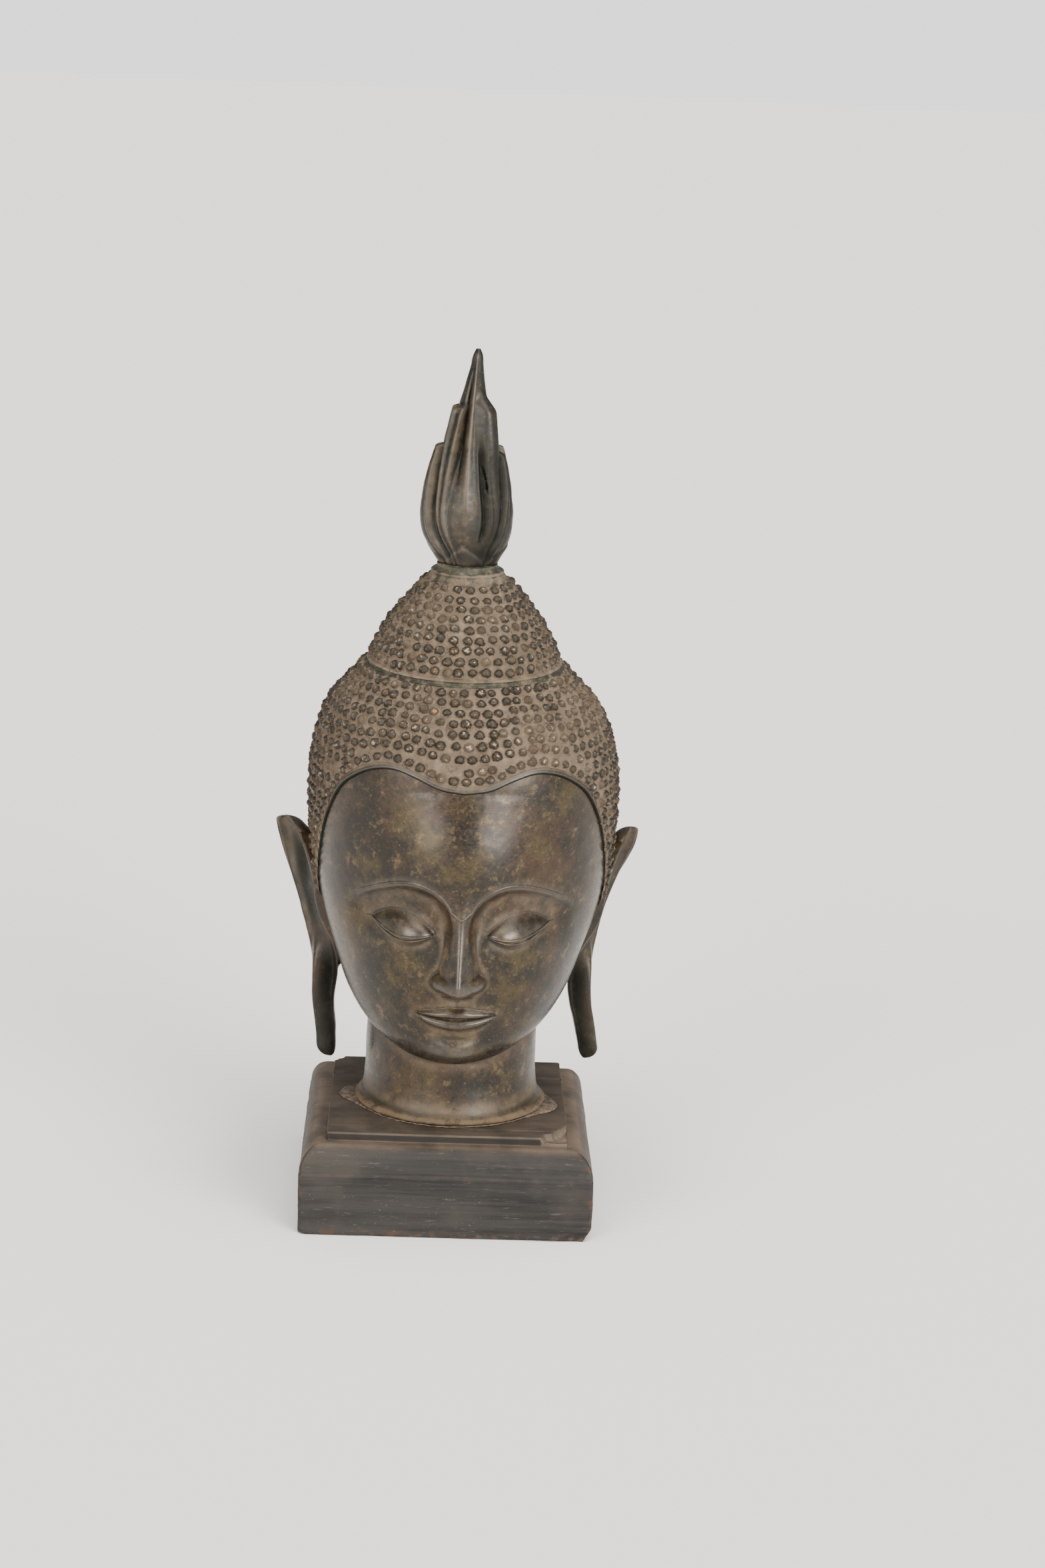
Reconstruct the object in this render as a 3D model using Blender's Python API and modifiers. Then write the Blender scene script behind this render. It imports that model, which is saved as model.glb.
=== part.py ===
"""A cast brass Buddha head with a separate flame finial, standing on a moulded wood plinth.

Metres, +Z up. The origin is the centre of the plinth's underside, and the face looks along -Y.
The head is drawn on the classical canon: the face is twelve fingers from hairline to chin,
four for the forehead, four for the nose and four from the nose to the chin. Every height and
depth of the head is given in those fingers, counted from the foot of the neck.
"""

import math

import bmesh
import bpy
import numpy as np
from mathutils import Matrix

PLINTH_WIDTH = 0.1525
BAND_HEIGHT = 0.0328
OVOLO_HEIGHT = 0.0144
OVOLO_INSET = 0.0110
LEDGE_WIDTH = 0.0027
PANEL_RISE = 0.0046
FOOT_BEVEL = 0.0012
CHIP_WIDTH = 0.0125
BACK_CHIP_WIDTH = 0.0065

FACE_HEIGHT = 0.145
LEAN = math.radians(2.5)
FINIAL_HEIGHT = 0.1122
SEAT_GAP = 0.0003

FINGER = FACE_HEIGHT / 12
PLINTH_HEIGHT = BAND_HEIGHT + OVOLO_HEIGHT + PANEL_RISE
PANEL_HALF = PLINTH_WIDTH / 2 - OVOLO_INSET - LEDGE_WIDTH
NECK_FOOT_Z = PLINTH_HEIGHT + SEAT_GAP

# Heights on the head, in fingers above the foot of the neck.
CHIN_FINGERS = 3.0
NOSE_BASE_FINGERS = CHIN_FINGERS + 4.0
BROW_FINGERS = NOSE_BASE_FINGERS + 4.0
EYE_FINGERS = NOSE_BASE_FINGERS + 2.42
EYE_WIDTH_FINGERS = 2.6
EYE_GAP_FINGERS = 2.24
WIDEST_FINGERS = CHIN_FINGERS + 7.5
GROOVE_FINGERS = 19.7
CROWN_FINGERS = 3.5
COLLAR_FINGERS = 0.58
RING_FINGERS = GROOVE_FINGERS + CROWN_FINGERS
SEAT_FINGERS = RING_FINGERS + COLLAR_FINGERS
SEAT_RADIUS_FINGERS = 1.3
RING_RADIUS_FINGERS = 1.88
FACE_FADE_FINGERS = (15.2, 17.5)

STUD_FINGERS = 0.17
HAIR_RISE_FINGERS = 0.1
HEAD_COLUMNS = 64
CROWN_COLUMNS = 40
FINIAL_COLUMNS = 28


def curve_through(points):
    """A smooth curve through a few (place, value) points, as a function of place."""
    place, value = np.array(points, float).T
    slope = np.gradient(value, place)

    def at(x):
        x = np.clip(x, place[0], place[-1])
        i = np.clip(np.searchsorted(place, x, side="right") - 1, 0, len(place) - 2)
        step = place[i + 1] - place[i]
        t = (x - place[i]) / step
        start = value[i] * (1 + 2 * t) * (1 - t) ** 2 + slope[i] * step * t * (1 - t) ** 2
        end = value[i + 1] * t**2 * (3 - 2 * t) + slope[i + 1] * step * t**2 * (t - 1)
        return start + end

    return at


def ease(x, low, high):
    """Rises smoothly from 0 at low to 1 at high."""
    t = np.clip((x - low) / (high - low), 0, 1)
    return t * t * (3 - 2 * t)


def mound(x, z, centre_x, centre_z, half_width, half_height):
    """A soft mound of height 1, mirrored to the other side of the face."""
    across = (np.abs(x) - centre_x) / half_width
    return np.exp(-(across**2) - ((z - centre_z) / half_height) ** 2)


# The neck, the egg of the face and the hair cap, each as depths and widths by height.
neck_half_width = curve_through(
    [(0, 4.1), (0.22, 4.05), (0.4, 3.88), (1.3, 3.7), (2.6, 3.6), (6, 3.55)]
)
face_front = curve_through(
    [(3.0, 3.3), (3.12, 4.2), (3.4, 4.95), (3.8, 5.4), (4.3, 5.62), (5.0, 5.7), (7.0, 5.98),
     (8.5, 6.15), (10.0, 6.28), (11.0, 6.4), (12.0, 6.46), (13.5, 6.42), (15.0, 6.27), (16.5, 5.85)]
)
face_centre = curve_through([(3.0, 3.3), (4.0, 2.3), (5.5, 1.1), (7.0, 0.4), (8.5, 0.0), (19, 0.0)])
hair_half_width = curve_through(
    [(3.5, 3.3), (4.5, 3.7), (5.5, 4.35), (7.0, 5.15), (8.5, 5.65), (10.0, 5.98), (12.0, 6.34),
     (14.0, 6.46), (15.3, 6.42), (16.3, 6.24), (17.0, 6.05), (17.9, 5.66), (18.5, 5.2), (19.35, 4.4),
     (19.85, 4.08)]
)
hair_back = curve_through(
    [(3.5, 3.45), (4.5, 3.95), (5.5, 4.65), (7.0, 5.55), (8.5, 6.15), (10.0, 6.55), (12.0, 6.85),
     (14.0, 6.92), (15.3, 6.8), (16.3, 6.55), (17.0, 6.3), (17.9, 5.84), (18.5, 5.36), (19.35, 4.55),
     (19.85, 4.22)]
)
hair_front = curve_through(
    [(3.5, 3.0), (7.0, 4.9), (10.0, 5.9), (13.0, 6.3), (15.0, 6.38), (16.3, 6.15), (17.0, 5.94),
     (17.9, 5.54), (18.5, 5.1), (19.35, 4.4), (19.85, 4.15)]
)
# The crown's radius is given by shares of the way up from the groove to the ring.
crown_radius = curve_through(
    [(0, 4.1), (0.043, 4.05), (0.229, 3.78), (0.443, 3.4), (0.6, 3.03), (0.743, 2.64), (0.886, 2.22),
     (1, RING_RADIUS_FINGERS)]
)
hairline = curve_through(
    [(0, 15.08), (12, 15.2), (26, 15.72), (38, 15.82), (48, 15.1), (56, 13.6), (63, 11.8), (70, 10.2),
     (76, 9.0), (95, 8.6), (118, 6.4), (150, 5.4), (180, 5.2)]
)


def ellipse_reach(angle, half_width, half_depth, centre):
    """How far a ray from the axis at this angle goes before it leaves an ellipse centred forward of it."""
    across = (np.sin(angle) / half_width) ** 2 + (np.cos(angle) / half_depth) ** 2
    back = centre * np.cos(angle) / half_depth**2
    inside = back**2 - across * ((centre / half_depth) ** 2 - 1)
    return np.where(inside > 0, (back + np.sqrt(np.maximum(inside, 0))) / across, 0)


def soft_max(a, b, blend):
    """The larger of two reaches, with the corner between them rounded over the blend."""
    mix = np.clip(0.5 + (a - b) / (2 * blend), 0, 1)
    return b + (a - b) * mix + blend * mix * (1 - mix)


def head_reach(angle, z):
    """Distance from the head's axis to its smooth surface, in fingers, at an angle from the front."""
    rise = np.clip((WIDEST_FINGERS - z) / (WIDEST_FINGERS - CHIN_FINGERS), 0, 1)
    face_half = 5.6 * np.sqrt(np.maximum(1 - rise**2.8, 1e-4)) * (1 - 0.035 * ease(z, 11, 16))
    centre = face_centre(z)
    face = ellipse_reach(angle, face_half, np.maximum(face_front(z) - centre, 0.1), centre)
    face = np.where(z > CHIN_FINGERS, face, 0) * (1 - 0.5 * ease(z, *FACE_FADE_FINGERS))
    neck = ellipse_reach(angle, neck_half_width(z), neck_half_width(z) * 0.97, 0.05)
    front_or_back = np.where(np.cos(angle) > 0, hair_front(z), hair_back(z))
    hair = ellipse_reach(angle, hair_half_width(z), front_or_back, 0)
    hair = np.where(z > 3.5, hair * (1 - 0.1 * (1 - ease(z, 3.5, 5.0))), 0)
    return soft_max(soft_max(neck, face, 0.22), hair, 0.3)


# The face's own forms are pushes forward, in fingers, at a place across and up the face.
nose_height = curve_through(
    [(6.7, 0), (6.85, 0.42), (7.0, 1.02), (7.2, 1.36), (7.45, 1.38), (8.0, 1.14), (8.8, 0.82), (9.6, 0.54),
     (10.3, 0.32), (10.9, 0.14), (11.5, 0)]
)
nose_half_width = curve_through(
    [(6.7, 0.8), (7.3, 0.95), (8.0, 0.84), (9.0, 0.7), (10.0, 0.6), (11.0, 0.78), (11.5, 0.9)]
)


def dome(x, z, centre_x, centre_z, half_width, half_height, power):
    """A rounded cap of height 1 with a clear edge, mirrored to the other side of the face."""
    inside = 1 - ((np.abs(x) - centre_x) / half_width) ** 2 - ((z - centre_z) / half_height) ** 2
    return np.maximum(inside, 0) ** power


def brow_height(x):
    """The arch of the brow: low beside the nose, highest over the eye, lower again at the temple."""
    share = np.clip((np.abs(x) - 0.45) / 4.3, 0, 1)
    return BROW_FINGERS - 0.45 + 1.1 * np.sin(math.pi * share**0.75) - 0.1 * share


def nose(x, z):
    """A ridge that rises from between the brows to the tip, with a wing on each side."""
    across = np.sqrt(x**2 + 0.01) / nose_half_width(z)
    side = np.clip(1.02 - across, 0, 1)
    ridge = nose_height(z) * side**1.3 * (1 + 0.9 * across)
    wings = 0.62 * dome(x, z, 0.66, 7.35, 0.5, 0.43, 0.6)
    return (ridge**3 + wings**3) ** (1 / 3)


def eyes(x, z):
    """Each socket drops back below the brow, and in it the upper lid swells forward over the lower lid."""
    below = brow_height(x) - z
    reach = ease(np.abs(x), 0.25, 0.9) * (1 - ease(np.abs(x), 3.6, 5.0))
    drop = 1 - np.exp(-((np.maximum(below, 0) / 0.35) ** 2))
    socket = -0.4 * drop * np.exp(-((np.maximum(below, 0) / 2.0) ** 4)) * reach
    along = np.clip((np.abs(x) - EYE_GAP_FINGERS / 2) / EYE_WIDTH_FINGERS, 0, 1)
    arch = np.maximum(np.sin(math.pi * along), 1e-4)
    corner = EYE_FINGERS + 0.2 * along
    edge = corner - 0.24 * arch
    crease = corner + 0.76 * arch**0.8
    bag = corner - 0.66 * arch**0.9
    upper = np.cos(math.pi / 2 * np.clip((z - edge) / (crease - edge), 0, 1) ** 1.3)
    lower = 0.68 * np.sin(math.pi / 2 * np.clip((z - bag) / (edge - bag), 0, 1))
    return socket + 0.42 * arch**0.55 * np.where(z > edge, upper, lower)


def lips(x, z):
    """Two rolls that meet in a level line with raised ends, the upper one with a dip at its middle."""
    across = np.clip(np.abs(x) / 1.78, 0, 1)
    parting = NOSE_BASE_FINGERS - 1.26 + 0.14 * across**2
    top = parting + 0.46 * (1 - across**1.8) ** 0.85 + 0.05 * np.exp(-(((np.abs(x) - 0.34) / 0.24) ** 2))
    bottom = parting - 0.62 * (1 - across**2.2) ** 0.8
    upper = np.clip((z - parting) / (top - parting + 1e-6), 0, 1)
    lower = np.clip((parting - z) / (parting - bottom + 1e-6), 0, 1)
    roll = np.where(z > parting, 0.22 * np.sin(math.pi * upper**0.8), 0.28 * np.sin(math.pi * lower**0.85))
    return roll * (1 - across**2) ** 0.5


def face_push(x, z):
    """Every form of the face together."""
    chin = 0.24 * mound(x, z, 0, 3.98, 1.15, 0.62) - 0.13 * mound(x, z, 0, 4.74, 1.0, 0.24)
    mouth = 0.2 * mound(x, z, 0, 5.8, 2.0, 1.1) - 0.06 * mound(x, z, 1.9, 5.85, 0.25, 0.3)
    groove = -0.07 * mound(x, z, 0, 6.5, 0.17, 0.3)
    cheeks = 0.14 * mound(x, z, 2.8, 7.3, 1.6, 1.5)
    return chin + mouth + groove + cheeks + eyes(x, z) + lips(x, z) + nose(x, z)


def head_point(angle, z, studs=0.0):
    """Places of the head's surface in fingers, before it leans. Studs stand out of the hair alone."""
    above = z - hairline(np.degrees(np.abs(angle)))
    hair = ease(above, -0.02, 0.14)
    reach = head_reach(angle, z) + hair * HAIR_RISE_FINGERS + ease(above, 0.05, 0.45) * studs
    x = reach * np.sin(angle)
    facing = ease(np.cos(angle), 0.05, 0.45) * (1 - hair)
    y = -reach * np.cos(angle) - facing * face_push(x, z)
    return np.stack([x, y, np.broadcast_to(z, x.shape)], -1)


# The casting stands a little to one side of the plinth's middle, and the flame a little to the other.
side_drift = curve_through([(0, 0.13), (17, 0.14), (19.7, 0.04), (23.8, 0.02), (25.5, -0.09), (33, -0.1)])


def lean(points):
    """Fingers from the foot of the neck to metres, bent forward evenly over the neck, straight above it."""
    points = np.asarray(points, float)
    drift = side_drift(points[..., 2])
    x, y, z = np.moveaxis(points * FINGER, -1, 0)
    x = x + drift * FINGER
    bend_height = CHIN_FINGERS * FINGER
    along = np.clip(z, 0, bend_height)
    angle = LEAN * along / bend_height
    above = z - along
    spine_y = -LEAN * along**2 / (2 * bend_height) - above * math.sin(LEAN)
    spine_z = along + above * math.cos(LEAN)
    return np.stack([x, spine_y + y * np.cos(angle), NECK_FOOT_Z + spine_z + y * np.sin(angle)], -1)


def grid_faces(rows, columns, start=0):
    """Triangles of a closed tube of rings, with diagonals that join the low points between studs."""
    faces = []
    for j in range(rows - 1):
        for i in range(columns):
            here = start + j * columns + i
            side = start + j * columns + (i + 1) % columns
            over, across = here + columns, side + columns
            if (i + j) % 2:
                faces += [(here, side, across), (here, across, over)]
            else:
                faces += [(here, side, over), (side, across, over)]
    return faces


def bridge_faces(low, low_count, high, high_count):
    """Triangles between two rings of unlike counts that start at the same angle."""
    faces = []
    i = j = 0
    while i < low_count or j < high_count:
        if j >= high_count or (i < low_count and (i + 1) / low_count <= (j + 1) / high_count):
            faces.append((low + i % low_count, low + (i + 1) % low_count, high + j % high_count))
            i += 1
        else:
            faces.append((low + i % low_count, high + (j + 1) % high_count, high + j % high_count))
            j += 1
    return faces


def new_object(name, points, faces, material, collection):
    mesh = bpy.data.meshes.new(name)
    mesh.from_pydata([tuple(p) for p in points], [], faces)
    mesh.shade_smooth()
    mesh.set_sharp_from_angle(angle=math.radians(40))
    obj = bpy.data.objects.new(name, mesh)
    mesh.materials.append(material)
    collection.objects.link(obj)
    return obj


def new_material(name, colour, metallic, roughness):
    material = bpy.data.materials.new(name)
    material.use_nodes = True
    shader = material.node_tree.nodes["Principled BSDF"]
    shader.inputs["Base Color"].default_value = (*colour, 1)
    shader.inputs["Metallic"].default_value = metallic
    shader.inputs["Roughness"].default_value = roughness
    material.diffuse_color = (*colour, 1)
    return material


def make_head(material, collection):
    """Neck, face and hair as rings up to the groove, then the crown, the ring and the finial's seat."""
    turn = np.arange(HEAD_COLUMNS) * 2 * math.pi / HEAD_COLUMNS
    angle = turn - 0.3 * np.sin(turn) - 0.14 * np.sin(2 * turn)
    angle = np.where(angle > math.pi, angle - 2 * math.pi, angle)
    # The rings dip under the chin and ride up along the jaw to the nape.
    jaw_lift = 2.1 * (1 - np.maximum(np.cos(angle), 0))
    behind = ease(np.abs(angle), math.radians(50), math.radians(80))

    neck = [0, 0.22, 0.42, 1.2, 2.1, 2.7, 2.95]
    face = [3.08, 3.25, 3.55, 4.0, 4.4, 4.72, 4.98, 5.25, 5.5, 5.72, 5.97, 6.22, 6.6, 6.85, 7.15, 7.45, 7.9,
            8.4, 8.9, 9.3, 9.7, 10.15, 10.6, 11.0, 11.4, 11.9, 12.5, 13.1, 13.7, 14.3, 14.85]
    even = np.linspace(face[0], face[-1], len(face))
    # The steps of the hair's rows grow smaller as it closes in towards the groove.
    climb = np.linspace(0, 1, 14)[1:]
    scalp = face[-1] + (GROOVE_FINGERS - face[-1]) * (1.22 - 0.22 * climb) * climb
    rings = []
    for r in neck:
        z = r + jaw_lift * ease(r, 0.42, 2.95)
        rings.append(head_point(angle, z))
    for r, level in zip(face, even):
        z = r + (level - r) * behind
        z += jaw_lift * (face[-1] - z) / (face[-1] - face[0])
        raised = STUD_FINGERS * ((np.arange(HEAD_COLUMNS) + len(rings)) % 2)
        rings.append(head_point(angle, z, raised))
    for r in scalp:
        raised = STUD_FINGERS * ((np.arange(HEAD_COLUMNS) + len(rings)) % 2) * (r < scalp[-1])
        rings.append(head_point(angle, np.full_like(angle, r), raised))
    points = np.concatenate(rings)
    faces = grid_faces(len(rings), HEAD_COLUMNS)
    faces.append(tuple(range(HEAD_COLUMNS))[::-1])

    crown_angle = np.arange(CROWN_COLUMNS) * 2 * math.pi / CROWN_COLUMNS
    around = np.stack([np.sin(crown_angle), -1.04 * np.cos(crown_angle)], -1)
    climb = np.linspace(0, 1, 13)
    crown_shares = 0.043 + 0.914 * (1.28 - 0.28 * climb) * climb
    crown = []
    for j, share in enumerate(crown_shares):
        studded = 0 < j < len(crown_shares) - 1
        z = GROOVE_FINGERS + CROWN_FINGERS * share
        out = crown_radius(share) + STUD_FINGERS * ((np.arange(CROWN_COLUMNS) + j) % 2) * studded
        crown.append(np.column_stack([around * out[:, None], np.full(CROWN_COLUMNS, z)]))
    ring = RING_RADIUS_FINGERS
    rim = [(RING_FINGERS, ring), (RING_FINGERS + 0.14, ring - 0.02), (RING_FINGERS + 0.34, ring - 0.3)]
    for z, radius in (*rim, (SEAT_FINGERS, SEAT_RADIUS_FINGERS)):
        crown.append(np.column_stack([around * radius, np.full(CROWN_COLUMNS, z)]))
    first = len(points)
    points = np.concatenate([points, *crown])
    faces += bridge_faces(first - HEAD_COLUMNS, HEAD_COLUMNS, first, CROWN_COLUMNS)
    faces += grid_faces(len(crown), CROWN_COLUMNS, first)
    faces.append(tuple(range(len(points) - CROWN_COLUMNS, len(points))))
    return new_object("bronze_head", lean(points), faces, material, collection)


# Each ear is a long hollow leaf that flares out at the top and hangs free as a lobe below the jaw.
# Its front edge and its back rim are given by height; the lobes hang a little differently.
EAR_ROWS = [12.45, 12.37, 12.2, 11.85, 11.4, 10.7, 9.9, 9.0, 8.0, 7.0, 6.1, 5.2, 4.3, 3.5, 2.8, 2.25, 1.95,
            1.85]
EAR_TOP_FINGERS = EAR_ROWS[0]
EAR_END_FINGERS = EAR_ROWS[-1]
ear_back_y = curve_through(
    [(1.85, 0.75), (3.1, 0.85), (5.0, 0.95), (7.2, 1.2), (9.3, 1.7), (11.0, 1.95), (12.1, 1.7), (12.45, 1.35)]
)
ear_front_y = curve_through(
    [(1.85, -0.35), (4.0, -0.5), (6.1, -0.45), (9.3, -0.55), (11.0, -0.5), (12.1, 0.2), (12.45, 0.8)]
)
ear_hollow = curve_through(
    [(1.85, 0.05), (4.0, 0.2), (8.0, 0.24), (9.4, 0.2), (10.6, 0.4), (11.6, 0.4), (12.45, 0.1)]
)
right_rim = curve_through(
    [(1.85, 6.42), (2.3, 6.42), (3.0, 6.2), (3.7, 6.02), (4.4, 5.94), (5.8, 5.93), (7.2, 6.05), (8.55, 6.32),
     (9.25, 6.59), (9.9, 6.9), (10.6, 7.32), (11.3, 7.65), (12.0, 7.85), (12.45, 7.85)]
)
right_front = curve_through(
    [(1.85, 5.85), (3.5, 5.53), (4.3, 5.22), (5.5, 5.0), (7.0, 5.25), (8.6, 5.9), (10.2, 6.35), (11.3, 6.75),
     (12.45, 7.4)]
)
left_rim = curve_through(
    [(1.85, 5.95), (2.33, 6.02), (3.0, 6.04), (3.7, 5.97), (5.0, 6.11), (6.34, 6.32), (7.57, 6.65),
     (8.95, 7.12), (10.0, 7.55), (11.07, 7.92), (12.06, 8.12), (12.45, 8.05)]
)
left_front = curve_through(
    [(1.85, 5.45), (3.0, 5.32), (4.4, 5.32), (5.5, 5.2), (7.0, 5.35), (8.6, 5.95), (10.2, 6.4), (11.3, 6.8),
     (12.45, 7.5)]
)


def ear_section(z, front_x, rim_x):
    """One closed slice of an ear: a hollow face between the front edge and the rim, and a full back."""
    end = min((z - EAR_END_FINGERS) / 0.4, (EAR_TOP_FINGERS - z) / 0.3, 1)
    share = math.sqrt(max(1 - (1 - end) ** 2, 0.02))
    front = np.array([front_x, ear_front_y(z)])
    rim = np.array([rim_x, ear_back_y(z)])
    along = rim - front
    normal = np.array([along[1], -along[0]]) / np.linalg.norm(along)
    middle = (front + rim) / 2
    out = np.array([0, 0.12, 0.35, 0.65, 0.88, 1.0])
    lift = np.array([0.5, 1, 0, 0, 1, 0.5])
    hollow = middle + np.outer((out - 0.5) * share, along)
    hollow += np.outer(0.14 * lift * share - ear_hollow(z) * 4 * out * (1 - out) * share, normal)
    # Above the lobe the back of the slice runs into the head.
    rooted = ease(z, 5.6, 7.2) * ease(EAR_TOP_FINGERS - z, 0.25, 1.3)
    back = np.array([0.97, 0.75, 0.5, 0.25, 0.03])
    full = middle + np.outer((back - 0.5) * share, along)
    depth = 0.42 * np.sin(math.pi * (0.12 + 0.76 * back)) + ear_hollow(z) * 3.2 * back * (1 - back)
    full -= np.outer(depth * share, normal)
    full[:, 0] -= rooted * 1.3 * (1 - back) ** 0.7
    plane = np.concatenate([hollow, full])
    return np.column_stack([plane, np.full(len(plane), z)])


def make_ear(name, front, rim, side, material, collection):
    rings = [ear_section(z, front(z), rim(z)) for z in EAR_ROWS]
    columns = len(rings[0])
    points = np.concatenate(rings) * np.array([side, 1, 1])
    faces = grid_faces(len(rings), columns)
    faces.append(tuple(range(columns))[::-1])
    faces.append(tuple(range(len(points) - columns, len(points))))
    ear = new_object(name, lean(points), faces, material, collection)
    body = bmesh.new()
    body.from_mesh(ear.data)
    bmesh.ops.recalc_face_normals(body, faces=body.faces)
    body.to_mesh(ear.data)
    body.free()
    return ear


def join(obj, other):
    """Unites another closed piece into this one and hides the piece that was added."""
    union = obj.modifiers.new("join_" + other.name, "BOOLEAN")
    union.operation = "UNION"
    union.object = other
    other.hide_render = True
    other.display_type = "WIRE"


def cut(obj, cutter):
    """Takes the cutter's shape out of this piece."""
    difference = obj.modifiers.new("cut_" + cutter.name, "BOOLEAN")
    difference.operation = "DIFFERENCE"
    difference.object = cutter
    cutter.hide_render = True
    cutter.display_type = "WIRE"


# The finial's heights are shares of its own height above the seat, and its radii are in fingers.
flame_core = curve_through(
    [(0, 1.27), (0.03, 1.25), (0.07, 1.27), (0.12, 1.36), (0.2, 1.42), (0.28, 1.36), (0.4, 1.15),
     (0.55, 0.88), (0.68, 0.68), (0.76, 0.56), (0.83, 0.42), (0.92, 0.26), (0.98, 0.16), (1.0, 0.08)]
)
flame_side = curve_through(
    [(0, 1.25), (0.04, 1.4), (0.11, 1.73), (0.17, 1.89), (0.25, 1.97), (0.34, 1.9), (0.45, 1.74), (0.55, 1.5)]
)
flame_corner = curve_through(
    [(0.06, 1.27), (0.14, 1.6), (0.25, 1.84), (0.4, 1.66), (0.55, 1.4), (0.66, 1.24), (0.75, 1.07)]
)
flame_ridge = curve_through([(0.06, 0), (0.16, 0.22), (0.35, 0.3), (0.6, 0.24), (0.8, 0.12), (1.0, 0.02)])
SIDE_TIP_SHARE = 0.54
CORNER_TIP_SHARE = 0.725
CORNER_TURN = 48


def finial_reach(angle, share):
    """Radius of the flame: a core ridged at front and back, and tongues that end at two heights around it."""
    away_from_ridge = (math.degrees(1) * angle + 90) % 180 - 90
    core = flame_core(share) + flame_ridge(share) * np.exp(-((away_from_ridge / 14) ** 2))
    reach = core
    tongues = [(side, flame_side, SIDE_TIP_SHARE) for side in (90, -90)]
    corners = (CORNER_TURN, -CORNER_TURN, 180 - CORNER_TURN, 180 + CORNER_TURN)
    tongues += [(corner, flame_corner, CORNER_TIP_SHARE) for corner in corners]
    for centre, radius, tip in tongues:
        away = np.abs((np.degrees(angle) - centre + 180) % 360 - 180) / 16
        rise = np.exp(-(away**2.5)) * (1 - ease(share, tip, tip + 0.015))
        reach = np.maximum(reach, core + (radius(share) - core) * rise)
    return reach


def make_finial(material, collection):
    """The flame stands on the crown's seat as its own casting."""
    rows = [0, 0.045, 0.09, 0.13, 0.175, 0.22, 0.27, 0.33, 0.4, 0.47, SIDE_TIP_SHARE, SIDE_TIP_SHARE + 0.015,
            0.6, 0.66, CORNER_TIP_SHARE, CORNER_TIP_SHARE + 0.015, 0.79, 0.85, 0.91, 0.96, 1.0]
    angle = np.arange(FINIAL_COLUMNS) * 2 * math.pi / FINIAL_COLUMNS
    height = FINIAL_HEIGHT / FINGER
    rings = []
    for share in rows:
        reach = finial_reach(angle, share)
        z = SEAT_FINGERS + SEAT_GAP / FINGER + share * height
        x = reach * np.sin(angle) + 0.24 * share**2
        rings.append(np.stack([x, -0.9 * reach * np.cos(angle), np.full(FINIAL_COLUMNS, z)], -1))
    points = np.concatenate(rings)
    faces = grid_faces(len(rings), FINIAL_COLUMNS)
    faces.append(tuple(range(FINIAL_COLUMNS))[::-1])
    faces.append(tuple(range(len(points) - FINIAL_COLUMNS, len(points))))
    return new_object("flame_finial", lean(points), faces, material, collection)


def make_plinth(material, collection):
    """A square block turned from one moulding profile in four steps, so that its corners are mitred."""
    half = PLINTH_WIDTH / 2
    profile = [(0, PLINTH_HEIGHT), (PANEL_HALF, PLINTH_HEIGHT), (PANEL_HALF, PLINTH_HEIGHT - PANEL_RISE)]
    steps = 5
    for i in range(steps + 1):
        turn = math.radians(90) * i / steps
        x = half - OVOLO_INSET + OVOLO_INSET * math.sin(turn)
        profile.append((x, BAND_HEIGHT + OVOLO_HEIGHT * math.cos(turn)))
    profile += [(half, FOOT_BEVEL), (half - FOOT_BEVEL, 0), (0, 0)]
    corner = math.sqrt(2)
    mesh = bpy.data.meshes.new("wood_plinth")
    edges = [(i, i + 1) for i in range(len(profile) - 1)]
    mesh.from_pydata([(x * corner, 0, z) for x, z in profile], edges, [])
    mesh.materials.append(material)
    plinth = bpy.data.objects.new("wood_plinth", mesh)
    plinth.rotation_euler.z = math.radians(45)
    collection.objects.link(plinth)
    screw = plinth.modifiers.new("turn", "SCREW")
    screw.steps = screw.render_steps = 4
    screw.use_merge_vertices = True
    screw.merge_threshold = 0.00001
    screw.use_smooth_shade = False
    return plinth


def chip_cutter(name, width, corner_x, corner_y, cutters):
    """A ragged wedge that breaks one corner off the plinth's raised panel."""
    body = bmesh.new()
    bmesh.ops.create_cube(body, size=1)
    reach = 2 * width
    for vert in body.verts:
        inward = vert.co.x < 0
        vert.co.y *= 0.75 if inward else 1.15
        vert.co.z = PANEL_RISE * (1.5 if vert.co.z > 0 else (0.55 if inward else 0.02))
    bmesh.ops.scale(body, vec=(reach, reach, 1), verts=body.verts)
    bmesh.ops.triangulate(body, faces=body.faces)
    mesh = bpy.data.meshes.new(name)
    body.to_mesh(mesh)
    body.free()
    cutter = bpy.data.objects.new(name, mesh)
    place = (corner_x * PANEL_HALF, corner_y * PANEL_HALF, PLINTH_HEIGHT - PANEL_RISE)
    turn = math.atan2(corner_y, corner_x) + math.radians(9)
    cutter.matrix_world = Matrix.Translation(place) @ Matrix.Rotation(turn, 4, "Z")
    cutters.objects.link(cutter)
    return cutter


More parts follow.
